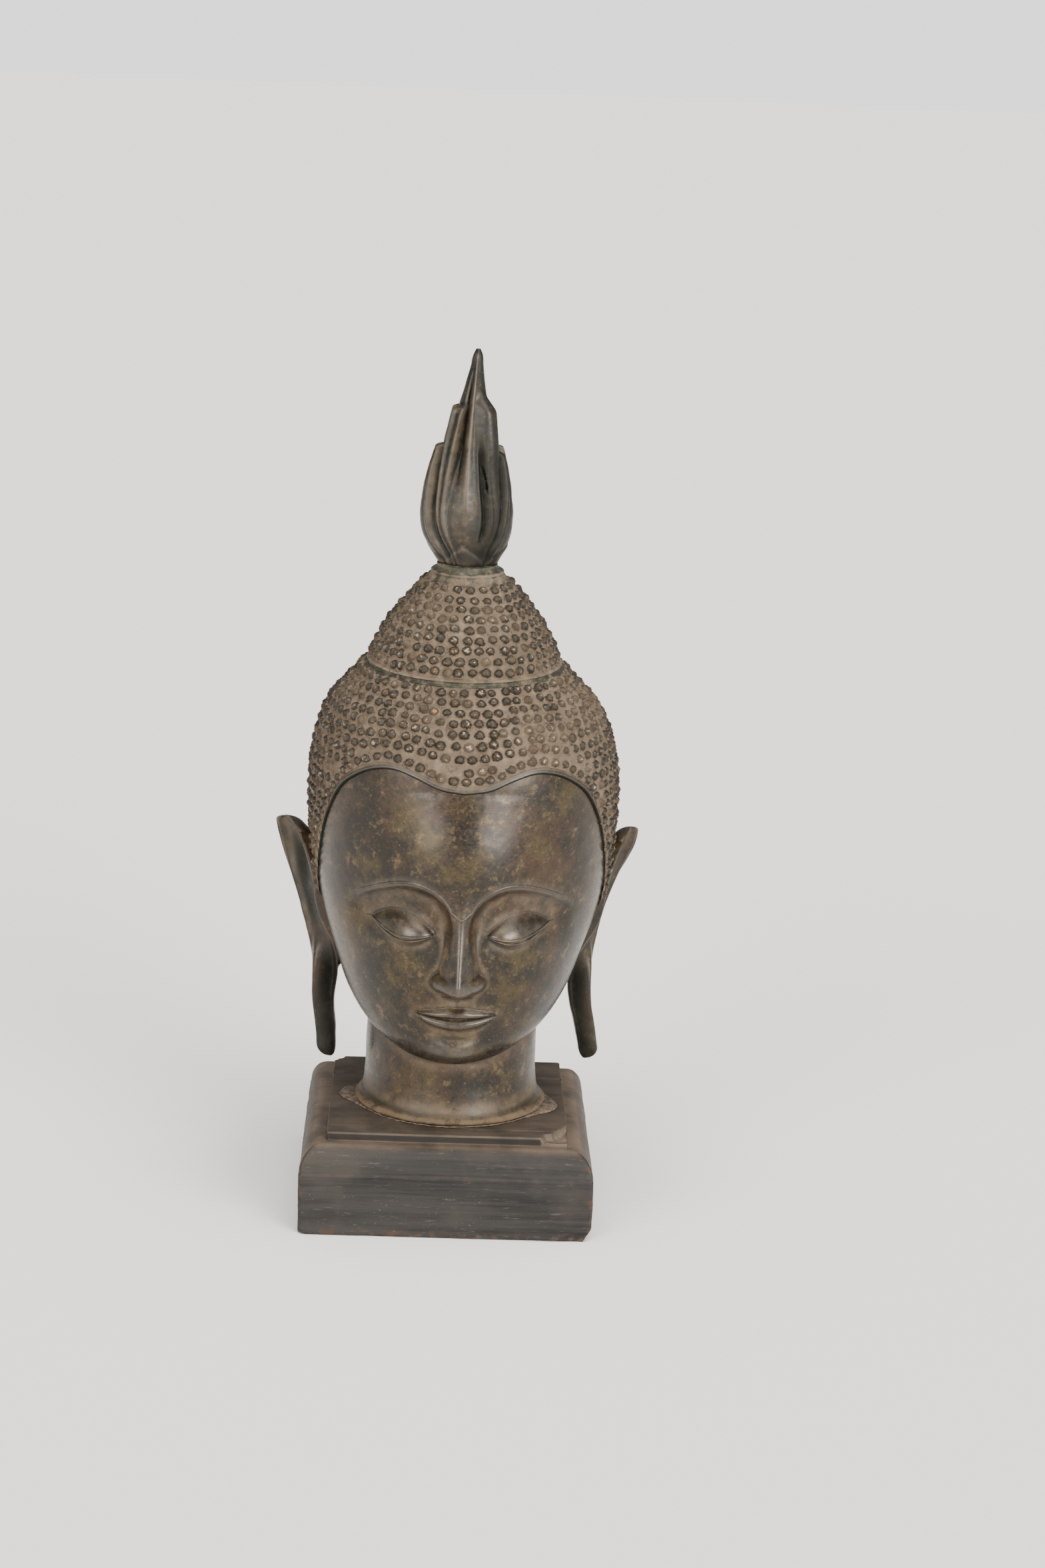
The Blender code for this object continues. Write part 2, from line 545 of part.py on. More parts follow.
def main():
    for obj in list(bpy.data.objects):
        bpy.data.objects.remove(obj)
    model = bpy.data.collections.new("brass_buddha_head")
    cutters = bpy.data.collections.new("joined_and_cut_shapes")
    bpy.context.scene.collection.children.link(model)
    bpy.context.scene.collection.children.link(cutters)

    bronze = new_material("patinated_bronze", (0.105, 0.088, 0.066), 0.75, 0.45)
    wood = new_material("dark_stained_wood", (0.075, 0.068, 0.062), 0.0, 0.6)

    head = make_head(bronze, model)
    join(head, make_ear("right_ear", right_front, right_rim, 1, bronze, cutters))
    join(head, make_ear("left_ear", left_front, left_rim, -1, bronze, cutters))
    make_finial(bronze, model)

    plinth = make_plinth(wood, model)
    cut(plinth, chip_cutter("front_chip", CHIP_WIDTH, 1, -1, cutters))
    cut(plinth, chip_cutter("back_chip", BACK_CHIP_WIDTH, -1, 1, cutters))


main()
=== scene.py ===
"""The finished look of a cast brass Buddha head with a flame finial, standing on a moulded wood plinth.

Metres, +Z up, in the same frame as the solids. The face looks along -Y. Each section makes one piece or two alike.
"""

import math

import bpy
import numpy as np
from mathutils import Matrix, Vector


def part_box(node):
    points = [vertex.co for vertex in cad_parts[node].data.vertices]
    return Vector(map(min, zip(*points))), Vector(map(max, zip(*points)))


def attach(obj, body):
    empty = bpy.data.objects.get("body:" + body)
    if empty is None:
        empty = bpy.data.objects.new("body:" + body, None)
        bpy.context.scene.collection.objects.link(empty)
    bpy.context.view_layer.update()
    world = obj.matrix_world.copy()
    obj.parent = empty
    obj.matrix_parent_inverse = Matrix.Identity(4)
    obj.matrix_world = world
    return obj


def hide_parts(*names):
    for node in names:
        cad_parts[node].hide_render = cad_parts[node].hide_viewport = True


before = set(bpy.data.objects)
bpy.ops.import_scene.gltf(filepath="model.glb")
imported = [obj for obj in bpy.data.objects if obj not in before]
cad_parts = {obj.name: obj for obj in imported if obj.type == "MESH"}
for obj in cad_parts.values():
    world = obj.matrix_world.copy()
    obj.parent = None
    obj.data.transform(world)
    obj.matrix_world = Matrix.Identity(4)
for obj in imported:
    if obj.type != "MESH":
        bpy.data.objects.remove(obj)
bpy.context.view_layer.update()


# Wood plinth. One squared block of hardwood with a quarter-round shoulder, a ledge and a raised panel, stained
# nearly black. It was planed by hand, so its faces wander a little. Corners are rubbed round and chipped,
# and dust lies on all that faces up.
MM = 0.001
plinth_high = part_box("wood_plinth")[1]
HALF = plinth_high.x
PLINTH_TOP = plinth_high.z
BAND_HEIGHT = 32.8 * MM
OVOLO_HEIGHT = 14.4 * MM
OVOLO_INSET = 11.0 * MM
LEDGE_WIDTH = 2.7 * MM
PANEL_RISE = PLINTH_TOP - BAND_HEIGHT - OVOLO_HEIGHT
PANEL_HALF = HALF - OVOLO_INSET - LEDGE_WIDTH
EDGE_ROUND = 1.3 * MM
FRONT_CHIP = 12.5 * MM
BACK_CHIP = 6.5 * MM
PLINTH_COLUMNS = 624
MIDDLE_SHARE = 0.48
CORNER_SQUEEZE = 1.15


def linear(colour):
    """An sRGB hex colour as linear red, green, blue and a full alpha."""
    channels = [int(colour[i:i + 2], 16) / 255 for i in (1, 3, 5)]
    return (*[c / 12.92 if c <= 0.04045 else ((c + 0.055) / 1.055) ** 2.4 for c in channels], 1)


def ease(x, low, high):
    """Rises smoothly from 0 at low to 1 at high."""
    t = np.clip((x - low) / (high - low), 0, 1)
    return t * t * (3 - 2 * t)


def bell(x, centre, width):
    """1 at the centre and less on both sides of it: exp(-((x - centre) / width)^2)."""
    return np.exp(-(((x - centre) / width) ** 2))


def mottle(points, size, seed):
    """Soft noise from -1 to 1: random values at the corners of cubes of this size, blended smoothly between."""
    place = np.asarray(points, float) / size + 512.3
    cell = np.floor(place).astype(np.int64)
    inside = place - cell
    inside = inside * inside * (3 - 2 * inside)
    total = 0
    for corner in np.ndindex(2, 2, 2):
        x, y, z = np.moveaxis(cell + np.array(corner), -1, 0)
        mixed = (x * 73856093) ^ (y * 19349663) ^ (z * 83492791) ^ (seed * 2654435761)
        mixed = ((mixed ^ (mixed >> 15)) * 2246822519) & 0xFFFFFFFF
        mixed = ((mixed ^ (mixed >> 13)) * 3266489917) & 0xFFFFFFFF
        share = np.where(corner, inside, 1 - inside).prod(-1)
        total = total + share * (mixed / 0x7FFFFFFF - 1)
    return total


def grid_quads(rows, columns):
    """Quads of a grid whose rows go up and whose columns go round to the right, so that they face outwards."""
    j, i = np.meshgrid(np.arange(rows - 1), np.arange(columns), indexing="ij")
    here, side = j * columns + i, j * columns + (i + 1) % columns
    return np.stack([here, side, side + columns, here + columns], -1).reshape(-1, 4)


def cap_fan(points, ring, up):
    """Closes a ring of the piece with triangles to a new point at its middle. Gives the points and the triangles."""
    middle = points[ring].mean(0)
    after = np.roll(ring, -1)
    centre = np.full(len(ring), len(points))
    fan = np.stack([ring, after, centre] if up else [after, ring, centre], -1)
    return np.vstack([points, middle]), fan


def closed_grid(grid, foot=True, top=True):
    """Points and faces of a grid of rings, with its foot and its top closed by fans unless told not to."""
    rows, columns = grid.shape[:2]
    points, faces = grid.reshape(-1, 3), [grid_quads(rows, columns)]
    for wanted, start, up in ((foot, 0, False), (top, (rows - 1) * columns, True)):
        if wanted:
            points, fan = cap_fan(points, np.arange(columns) + start, up)
            faces.append(fan)
    return points, faces


def new_piece(name, points, faces, material, smooth_angle=60, **masks):
    """A mesh object at the origin, shaded smooth but for sharp edges, with one number a point for each mask. Points
    past a mask's end, which are the middles of fans, get 0."""
    mesh = bpy.data.meshes.new(name)
    mesh.from_pydata(points.tolist(), [], [face for group in faces for face in group.tolist()])
    for mask, values in masks.items():
        values = np.ravel(values)
        values = np.pad(values, (0, len(points) - len(values))).astype(np.float32)
        mesh.attributes.new(mask, "FLOAT", "POINT").data.foreach_set("value", values)
    mesh.materials.append(material)
    mesh.shade_smooth()
    mesh.set_sharp_from_angle(angle=math.radians(smooth_angle))
    piece = bpy.data.objects.new(name, mesh)
    bpy.context.scene.collection.objects.link(piece)
    return piece


def plug(tree, node, links):
    """Gives a node's sockets fixed values, colours in hex, or the outputs of other nodes."""
    for socket, value in links.items():
        if isinstance(value, bpy.types.NodeSocket):
            tree.links.new(value, node.inputs[socket])
        else:
            node.inputs[socket].default_value = linear(value) if isinstance(value, str) else value


def add(tree, kind, links=None, ramp=(), out=0, **settings):
    """Adds a node with its settings and links, and returns one of its outputs."""
    node = tree.nodes.new("ShaderNode" + kind)
    for name, value in settings.items():
        setattr(node, name, value)
    plug(tree, node, links or {})
    for stop, (place, colour) in zip(node.color_ramp.elements if ramp else (), ramp):
        stop.position, stop.color = place, linear(colour)
    return node.outputs[out]


def new_material(name, sockets):
    """A material with one Principled shader. Gives the material, its node tree and the shader."""
    material = bpy.data.materials.new(name)
    material.use_nodes = True
    shader = material.node_tree.nodes["Principled BSDF"]
    plug(material.node_tree, shader, sockets)
    return material, material.node_tree, shader


def coats(tree, colour, *layers):
    """Lays colours over one another: colour + share * (coat - colour). A layer is its share and its coat, or a
    pattern, the values between which the share rises smoothly, the full share and the coat."""
    for share, *limits, coat in layers:
        if limits:
            share = add(tree, "MapRange", {0: share, 1: limits[0], 2: limits[1], 4: limits[2]},
                        interpolation_type="SMOOTHSTEP")
        colour = add(tree, "Mix", {0: share, 6: colour, 7: coat}, out=2, data_type="RGBA")
    return colour


def patterned(tree, operation, number, pattern, low, high, start=0.0, end=1.0):
    """A number times, plus or at least (MULTIPLY, ADD, MAXIMUM) a run from start to end, which is smooth as the
    pattern goes from low to high."""
    run = add(tree, "MapRange", {0: pattern, 1: low, 2: high, 3: start, 4: end}, interpolation_type="SMOOTHSTEP")
    return add(tree, "Math", {0: number, 1: run}, operation=operation, use_clamp=operation == "MULTIPLY")


def stained_wood():
    """Hardwood, planed, stained nearly black and waxed. The grain runs along X, so it is dense dots on the two
    ends. Wax gives a low sheen along the grain, dust lies tan on top, and bare brown shows where it is rubbed."""
    material, tree, shader = new_material("dark_stained_hardwood", {"Specular IOR Level": 0.27})
    where = add(tree, "TexCoord", out="Object")
    # Fibres 1 mm thick, streaks 5 mm thick and short dashes 0.5 mm thick, given by their numbers in a metre.
    fibre, streaks, dashes = (
        add(tree, "TexNoise", {"Vector": add(tree, "Mapping", {"Vector": where, "Scale": number}), "Scale": 1.0,
                               "Detail": detail, "Roughness": rough})
        for number, detail, rough in (((12, 500, 500), 6.0, 0.65), ((5, 90, 90), 4.0, 0.6), ((90, 900, 900), 3.0, 0.7))
    )
    broad, cloud, rubbed, pores = (
        add(tree, "TexNoise", {"Vector": where, "Scale": 0.5 / size, "Detail": detail, "Roughness": rough})
        for size, detail, rough in (
            (24 * MM, 4.0, 0.55), (9 * MM, 5.0, 0.55), (2.6 * MM, 4.0, 0.55), (0.7 * MM, 3.0, 0.7))
    )
    dust, worn, shade = (add(tree, "Attribute", out="Fac", attribute_name=name) for name in ("dust", "worn", "shade"))
    pores = add(tree, "MapRange", {0: pores, 1: 0.65, 2: 0.76, 4: 0.55}, interpolation_type="SMOOTHSTEP")
    stain = add(tree, "ValToRGB", {0: fibre}, [(0.36, "#040404"), (0.66, "#201f1d")])
    # The shade mask paints the panel's riser near black as painted shade.
    colour = coats(
        tree, stain, (streaks, 0.45, 0.66, 0.6, "#272523"), (broad, 0.5, 0.68, 0.5, "#332e29"),
        (dashes, 0.6, 0.72, 0.5, "#4a443d"), (patterned(tree, "MULTIPLY", pores, streaks, 0.45, 0.6), "#7a7268"),
        (patterned(tree, "MULTIPLY", dust, cloud, 0.3, 0.66, 0.45), "#5e5246"), (shade, "#080706"),
        (patterned(tree, "MULTIPLY", worn, rubbed, 0.5, 0.62), "#37261a"),
    )
    sheen = add(tree, "MapRange", {0: fibre, 1: 0.2, 2: 0.8, 3: 0.46, 4: 0.7}, interpolation_type="SMOOTHSTEP")
    bump = add(tree, "Bump", {"Strength": 0.4, "Distance": 0.25 * MM, "Height": fibre})
    plug(tree, shader, {"Base Color": colour, "Roughness": sheen, "Normal": bump})
    return material


def plinth_profile():
    """Half width and height along the block's section, from the underside round to a ring under the casting: a small
    round, the upright band, a quarter circle, the ledge, the riser, its rounded lip and the panel."""
    turn = np.radians(np.linspace(0, 90, 5))
    foot = np.stack([HALF - EDGE_ROUND + EDGE_ROUND * np.sin(turn), EDGE_ROUND - EDGE_ROUND * np.cos(turn)], -1)
    band = np.linspace(EDGE_ROUND, BAND_HEIGHT - 0.5 * MM, 40)[1:]
    band = np.stack([np.full(len(band), HALF), band], -1)
    turn = np.radians(np.linspace(0, 90, 24))
    ovolo = [HALF - 0.4 * MM - (OVOLO_INSET - 0.4 * MM) * (1 - np.cos(turn)), BAND_HEIGHT + OVOLO_HEIGHT * np.sin(turn)]
    ledge_z = BAND_HEIGHT + OVOLO_HEIGHT
    ledge = np.linspace(HALF - OVOLO_INSET - 0.4 * MM, PANEL_HALF + 0.4 * MM, 4)
    ledge = np.stack([ledge, np.full(len(ledge), ledge_z)], -1)
    rise = np.array([0.0, 0.15, 0.35, 0.55, 0.72, 0.84]) * PANEL_RISE + ledge_z
    riser = np.stack([np.full(len(rise), PANEL_HALF), rise], -1)
    turn = np.radians([25, 50, 75])
    lip = 0.16 * PANEL_RISE
    top_edge = np.stack([PANEL_HALF - lip * (1 - np.cos(turn)), PLINTH_TOP - lip * (1 - np.sin(turn))], -1)
    inner = np.linspace(PANEL_HALF - lip, MIDDLE_SHARE * PANEL_HALF, 42)
    panel = np.stack([inner, np.full(len(inner), PLINTH_TOP)], -1)
    return np.concatenate([foot, band, np.stack(ovolo, -1), ledge, riser, top_edge, panel])


def plinth_points():
    """Square rings along the section, their points a little closer towards the corners. A point of a sharp square is
    pulled onto a circle round each corner, at core + away / length * radius, and then moved inwards by the planing,
    the dents and the chips. Gives the rings and their dust, wear and shade."""
    section = plinth_profile()
    side = np.arange(PLINTH_COLUMNS) / PLINTH_COLUMNS * 4
    edge = np.floor(side).astype(int)
    run = (side - edge) * 2 - 1
    run = np.sign(run) * (1 - (1 - np.abs(run)) ** CORNER_SQUEEZE)
    whole = np.ones_like(run)
    half, height = section[:, None, 0], section[:, None, 1]
    across, deep = np.choose(edge, [run, whole, -run, -whole]), np.choose(edge, [-whole, run, whole, -run])
    flat = np.stack(np.broadcast_arrays(across * half, deep * half, height), -1)
    # Corners are rubbed to a radius of 1.2 to 2.6 mm, and of up to about 7 mm at the foot.
    rub = mottle(flat, 9 * MM, 3) * 0.5 + 0.5
    low_corner = bell(height, 0, 6 * MM)
    radius = np.minimum((1.2 + 1.4 * rub + 3.2 * low_corner * (0.6 + 0.8 * rub)) * MM, half * 0.3)
    radius = np.where(height > BAND_HEIGHT + 0.98 * OVOLO_HEIGHT, np.minimum(radius, 1.6 * MM), radius)
    core = np.clip(flat[..., :2], -(half - radius)[..., None], (half - radius)[..., None])
    away = flat[..., :2] - core
    length = np.maximum(np.linalg.norm(away, axis=-1, keepdims=True), 1e-9)
    points = flat.copy()
    x, y, z = (points[..., k] for k in range(3))
    points[..., :2] = core + away / length * radius[..., None]
    # Planing leaves long shallow waves along the grain, and handling leaves dents along the arrises.
    grain = points * np.array([0.25, 1, 1])
    waves = 0.22 * MM * (mottle(grain, 12 * MM, 5) - 1) + 0.07 * MM * (mottle(grain, 2.6 * MM, 6) - 1)
    outward = np.where(length > 1e-8, away / length, 0)
    upright = 1 - ease(height, PLINTH_TOP - 0.4 * MM, PLINTH_TOP)
    points[..., :2] += outward * (waves * upright)[..., None]
    z += waves * ease(height, BAND_HEIGHT, PLINTH_TOP - PANEL_RISE)
    arris = bell(height, EDGE_ROUND, 2.2 * MM)
    dents = np.clip(mottle(points * np.array([0.5, 0.5, 1]), 6 * MM, 8) - 0.25, 0, 1) * arris
    points[..., :2] -= outward * (2.6 * MM * dents)[..., None]
    # The underside's edge is split away at the front right corner.
    split = 5 * MM * np.clip(1 - z / (8 * MM), 0, 1) * bell(y, -HALF, 15 * MM)
    x[:] = np.minimum(x, HALF - split)
    # The raised panel has lost its front corner and a smaller one at the back.
    ledge = PLINTH_TOP - PANEL_RISE
    broken = np.zeros(x.shape)
    for size, corner_x, corner_y in ((FRONT_CHIP, 1, -1), (BACK_CHIP, -1, 1)):
        inwards = (PANEL_HALF - corner_x * x) * 0.8 + (PANEL_HALF - corner_y * y) * 0.62
        ragged = 1.6 * MM * mottle(points * np.array([1, 1, 0.2]), 3.5 * MM, 9)
        broken = np.maximum(broken, 1 - ease(inwards + ragged, size * 0.86, size))
    on_panel = height > ledge + 0.1 * MM
    rough = 0.4 * MM * mottle(points, 1.8 * MM, 10) + 0.7 * MM * mottle(points, 5 * MM, 11)
    z += on_panel * broken * (ledge + 0.9 * MM + rough - z)
    # A shake runs across the panel behind the neck, and a finer one from its right side.
    on_top = height > PLINTH_TOP - 0.1 * MM
    for place, width, deep, seed in ((34 * MM, 1.0 * MM, 1.3 * MM, 12), (-52 * MM, 0.5 * MM, 0.5 * MM, 13)):
        line = place + 1.8 * MM * mottle(points * np.array([1, 0, 0]), 11 * MM, seed)
        reach = 1 if place > 0 else ease(x, -5 * MM, 12 * MM)
        z -= deep * bell(y, line, width) * on_top * reach
    z[:] = np.clip(z, 0, PLINTH_TOP)
    # Bare wood shows on the foot's arris, the corners, the shoulder's edge and the broken corners. Dust lies on the
    # steps, the panel and the shoulder's two end grains. The panel's riser gets painted shade, near black.
    nearer = np.minimum(np.abs(x), np.abs(y))
    corner = 1 - ease(PANEL_HALF - nearer, -30 * MM, 3 * MM)
    near_corner = bell(nearer, half, 2.4 * MM)
    brow = bell(height, BAND_HEIGHT, 1.2 * MM) * 0.35
    worn = np.clip(arris * 0.9 + near_corner * upright + brow + broken * 0.5 * corner, 0, 1)
    step = bell(height, ledge, 1.4 * MM) * (half > PANEL_HALF - 1 * MM)
    shoulder = ease(height, BAND_HEIGHT + 0.35 * OVOLO_HEIGHT, ledge)
    dust = np.clip(0.02 + 0.07 * shoulder + 0.75 * step + 0.5 * broken * on_panel, 0, 1)
    sides = ease(np.abs(x) - np.abs(y), 0, 2 * MM) * ease(height, BAND_HEIGHT, ledge)
    on_shoulder = half > PANEL_HALF + 1 * MM
    dust = np.clip(dust + 0.45 * on_panel + 0.6 * sides * on_shoulder + 0.3 * broken * on_panel, 0, 1)
    riser = on_panel * (height < PLINTH_TOP - 0.2 * PANEL_RISE) * (1 - 0.9 * broken)
    return points, dust, worn, np.broadcast_to(0.85 * riser, x.shape)


grid, dust, worn, shade = plinth_points()
plinth = new_piece("plinth_block", *closed_grid(grid), stained_wood(), 40, dust=np.append(dust, [0, 0.4]), worn=worn,
                   shade=shade)
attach(plinth, "root")
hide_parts("wood_plinth")


# Cast head. Neck, face, ears and hair are one lost-wax casting in brass. Its patina is dark brown and green, rubbed
# smooth on the high places, with pale dust in the hollows. The face is a plain one on the classical canon: twelve
# fingers from hairline to chin. Heights and depths below are in those fingers, from the foot of the neck.
FACE_HEIGHT = 145 * MM
FINGER = FACE_HEIGHT / 12
NECK_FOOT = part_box("bronze_head")[0].z
LEAN = math.radians(2.5)
CHIN = 3.0
NOSE_BASE = CHIN + 4.0
BROW = NOSE_BASE + 4.0
EYE = NOSE_BASE + 2.42
EYE_WIDTH = 2.6
EYE_GAP = 2.24
WIDEST = CHIN + 7.5
GROOVE = 19.7
CROWN = 3.5
SKIN_COLUMNS = 392
NECK_ROWS, FACE_ROWS = 34, 216


def curve_through(points):
    """A smooth curve through (place, value) points: a cubic between each two, with the slope of its neighbours."""
    place, value = np.array(points, float).T
    slope = np.gradient(value, place)

    def at(x):
        x = np.clip(x, place[0], place[-1])
        i = np.clip(np.searchsorted(place, x, side="right") - 1, 0, len(place) - 2)
        step = place[i + 1] - place[i]
        t = (x - place[i]) / step
        start = value[i] * (1 + 2 * t) * (1 - t) ** 2 + slope[i] * step * t * (1 - t) ** 2
        end = value[i + 1] * t**2 * (3 - 2 * t) + slope[i + 1] * step * t**2 * (t - 1)
        return start + end

    return at


neck_half_width = curve_through(
    [(0, 4.14), (0.06, 4.2), (0.15, 4.19), (0.23, 4.08), (0.3, 4.0), (0.5, 3.9), (1.3, 3.77), (2.6, 3.74), (6, 3.65)]
)
face_front = curve_through(
    [(3.0, 3.3), (3.12, 4.2), (3.4, 4.95), (3.8, 5.4), (4.3, 5.62), (5.0, 5.7), (7.0, 5.98),
     (8.5, 6.15), (10.0, 6.28), (11.0, 6.4), (12.0, 6.43), (13.0, 6.35), (14.0, 6.17), (15.0, 5.9), (16.5, 5.36)]
)
face_centre = curve_through([(3.0, 3.3), (4.0, 2.3), (5.5, 1.1), (7.0, 0.4), (8.5, 0.0), (19, 0.0)])
hair_half_width = curve_through(
    [(3.5, 3.3), (4.5, 3.7), (5.5, 4.35), (7.0, 5.2), (8.5, 5.82), (10.0, 6.16), (12.0, 6.38),
     (14.0, 6.46), (15.3, 6.42), (16.3, 6.24), (17.0, 6.05), (17.9, 5.66), (18.5, 5.2), (19.35, 4.4), (19.85, 4.08)]
)
hair_back = curve_through(
    [(3.5, 3.45), (4.5, 3.95), (5.5, 4.65), (7.0, 5.55), (8.5, 6.15), (10.0, 6.48), (12.0, 6.75),
     (14.0, 6.84), (15.3, 6.74), (16.3, 6.55), (17.0, 6.3), (17.9, 5.84), (18.5, 5.36), (19.35, 4.55), (19.85, 4.22)]
)
hair_front = curve_through(
    [(3.5, 3.0), (7.0, 4.9), (10.0, 5.5), (12.0, 5.78), (14.0, 5.88), (15.0, 5.84), (16.3, 5.7), (17.0, 5.55),
     (17.9, 5.24), (18.5, 4.92), (19.35, 4.34), (19.85, 4.15)]
)
hairline = curve_through(
    [(0, 15.52), (10, 15.66), (20, 16.04), (30, 16.28), (38, 16.19), (48, 15.73), (56, 15.05), (64, 13.8), (72, 12.2),
     (78, 10.9), (84, 9.6), (88, 8.4), (92, 7.5), (104, 6.8), (118, 6.2), (150, 5.4), (180, 5.2)]
)
nose_height = curve_through(
    [(6.7, 0), (6.85, 0.42), (7.0, 1.02), (7.2, 1.34), (7.45, 1.36), (8.0, 1.14), (8.8, 0.82), (9.6, 0.54),
     (10.3, 0.32), (10.9, 0.14), (11.5, 0)]
)
nose_half_width = curve_through(
    [(6.7, 0.8), (7.3, 0.95), (8.0, 0.84), (9.0, 0.7), (10.0, 0.6), (11.0, 0.78), (11.5, 0.9)]
)
side_drift = curve_through(
    [(0, 0.1), (0.6, 0.08), (2.0, 0.06), (3.2, 0.07), (5.0, 0.13), (17, 0.14), (19.7, 0.04), (23.8, 0.02),
     (25.5, -0.09), (33, -0.1)]
)


def ellipse_reach(angle, half_width, half_depth, centre):
    """How far a ray from the axis at this angle goes before it leaves an ellipse centred forward of it."""
    across = (np.sin(angle) / half_width) ** 2 + (np.cos(angle) / half_depth) ** 2
    back = centre * np.cos(angle) / half_depth**2
    inside = back**2 - across * ((centre / half_depth) ** 2 - 1)
    return np.where(inside > 0, (back + np.sqrt(np.maximum(inside, 0))) / across, 0)


def soft_max(a, b, blend_width):
    """The larger of two reaches, with the corner between them rounded over the blend width."""
    share = np.clip(0.5 + (a - b) / (2 * blend_width), 0, 1)
    return b + (a - b) * share + blend_width * share * (1 - share)


def head_reach(angle, z):
    """Distance from the axis to the smooth head: the largest of the neck, the egg of the face and the hair cap."""
    rise = np.clip((WIDEST - z) / (WIDEST - CHIN), 0, 1)
    face_half = 5.6 * np.sqrt(np.maximum(1 - rise**2.8, 1e-4)) * (1 - 0.035 * ease(z, 11, 16))
    centre = face_centre(z)
    face = ellipse_reach(angle, face_half, np.maximum(face_front(z) - centre, 0.1), centre)
    face = np.where(z > CHIN, face, 0) * (1 - 0.5 * ease(z, 15.2, 17.5))
    face = face * (1 - 0.06 * ease(-np.cos(angle), 0.1, 0.7) * ease(z, 8.5, 10.0))
    neck = ellipse_reach(angle, neck_half_width(z), neck_half_width(z) * 0.97, 0.05)
    front_or_back = np.where(np.cos(angle) > 0, hair_front(z), hair_back(z))
    hair = ellipse_reach(angle, hair_half_width(z), front_or_back, 0)
    hair = np.where(z > 3.5, hair * (1 - 0.1 * (1 - ease(z, 3.5, 5.0))), 0)
    return soft_max(soft_max(neck, face, 0.22), hair, 0.3)


def mound(x, z, centre_x, centre_z, half_width, half_height):
    """A soft mound of height 1, mirrored to the other side of the face."""
    return np.exp(-(((np.abs(x) - centre_x) / half_width) ** 2) - ((z - centre_z) / half_height) ** 2)


def brow_height(x):
    """The arch of the brow: low beside the nose, highest over the eye, lower again at the temple."""
    share = np.clip((np.abs(x) - 0.45) / 4.3, 0, 1)
    return BROW - 0.45 + 1.1 * np.sin(math.pi * share**0.75) - 0.1 * share


def lid_lines(x):
    """Heights of the upper lid's edge, its crease, and the foot of the lower lid, by the place across the eye."""
    along = np.clip((np.abs(x) - EYE_GAP / 2) / EYE_WIDTH, 0, 1)
    arch = np.maximum(np.sin(math.pi * along), 1e-4)
    corner = EYE + 0.2 * along
    return arch, corner - 0.24 * arch, corner + 0.76 * arch**0.8, corner - 0.66 * arch**0.9


def lip_lines(x):
    """Heights of the lips' parting, of the upper lip's top and of the lower lip's foot."""
    across = np.clip(np.abs(x) / 1.78, 0, 1)
    parting = NOSE_BASE - 1.26 + 0.14 * across**2
    top = parting + 0.46 * (1 - across**1.8) ** 0.85 + 0.05 * bell(np.abs(x), 0.34, 0.24)
    return across, parting, top, parting - 0.62 * (1 - across**2.2) ** 0.8


def nose(x, z):
    """A ridge that rises from between the brows to the tip, with a rounded wing on each side."""
    across = np.sqrt(x**2 + 0.01) / nose_half_width(z)
    side = np.clip(1.02 - across, 0, 1)
    ridge = nose_height(z) * side**1.3 * (1 + 0.9 * across)
    inside = 1 - ((np.abs(x) - 0.66) / 0.5) ** 2 - ((z - 7.35) / 0.43) ** 2
    wings = 0.62 * np.maximum(inside, 0) ** 0.8
    return (ridge**3 + wings**3) ** (1 / 3)


def eyes(x, z):
    """Each socket drops back below the brow, and in it the upper lid swells forward over the lower lid."""
    below = np.maximum(brow_height(x) - z, 0)
    reach = ease(np.abs(x), 0.25, 0.9) * (1 - ease(np.abs(x), 3.6, 5.0))
    socket = -0.4 * (1 - bell(below, 0, 0.35)) * np.exp(-((below / 2.0) ** 4)) * reach
    arch, edge, crease, bag = lid_lines(x)
    upper = np.cos(math.pi / 2 * np.clip((z - edge) / (crease - edge), 0, 1) ** 1.3)
    lower = 0.68 * np.sin(math.pi / 2 * np.clip((z - bag) / (edge - bag), 0, 1))
    lid = lower + (upper - lower) * ease(z, edge - 0.09, edge + 0.05)
    return socket + 0.42 * arch**0.55 * lid


def lips(x, z):
    """Two rolls that meet in a level line with raised ends, the upper one with a dip at its middle."""
    across, parting, top, bottom = lip_lines(x)
    upper = np.clip((z - parting) / (top - parting + 1e-6), 0, 1)
    lower = np.clip((parting - z) / (parting - bottom + 1e-6), 0, 1)
    roll = np.where(z > parting, 0.22 * np.sin(math.pi * upper**0.8), 0.28 * np.sin(math.pi * lower**0.85))
    return roll * (1 - across**2) ** 0.5


def face_push(x, z):
    """Every form of the face as one push forward."""
    chin = 0.24 * mound(x, z, 0, 3.98, 1.15, 0.62) - 0.13 * mound(x, z, 0, 4.74, 1.0, 0.24)
    mouth = 0.2 * mound(x, z, 0, 5.8, 2.0, 1.1) - 0.06 * mound(x, z, 1.9, 5.85, 0.25, 0.3)
    groove = -0.07 * mound(x, z, 0, 6.5, 0.17, 0.3)
    cheeks = 0.14 * mound(x, z, 2.8, 7.3, 1.6, 1.5)
    return chin + mouth + groove + cheeks + eyes(x, z) + lips(x, z) + nose(x, z)


def lean(points):
    """Fingers to metres, bent forward evenly over the neck and straight above it, with the casting's slight drift."""
    drift = side_drift(points[..., 2])
    x, y, z = np.moveaxis(points * FINGER, -1, 0)
    bend_height = CHIN * FINGER
    along = np.clip(z, 0, bend_height)
    angle = LEAN * along / bend_height
    above = z - along
    spine_y = -LEAN * along**2 / (2 * bend_height) - above * math.sin(LEAN)
    spine_z = along + above * math.cos(LEAN)
    return np.stack([x + drift * FINGER, spine_y + y * np.cos(angle), NECK_FOOT + spine_z + y * np.sin(angle)], -1)


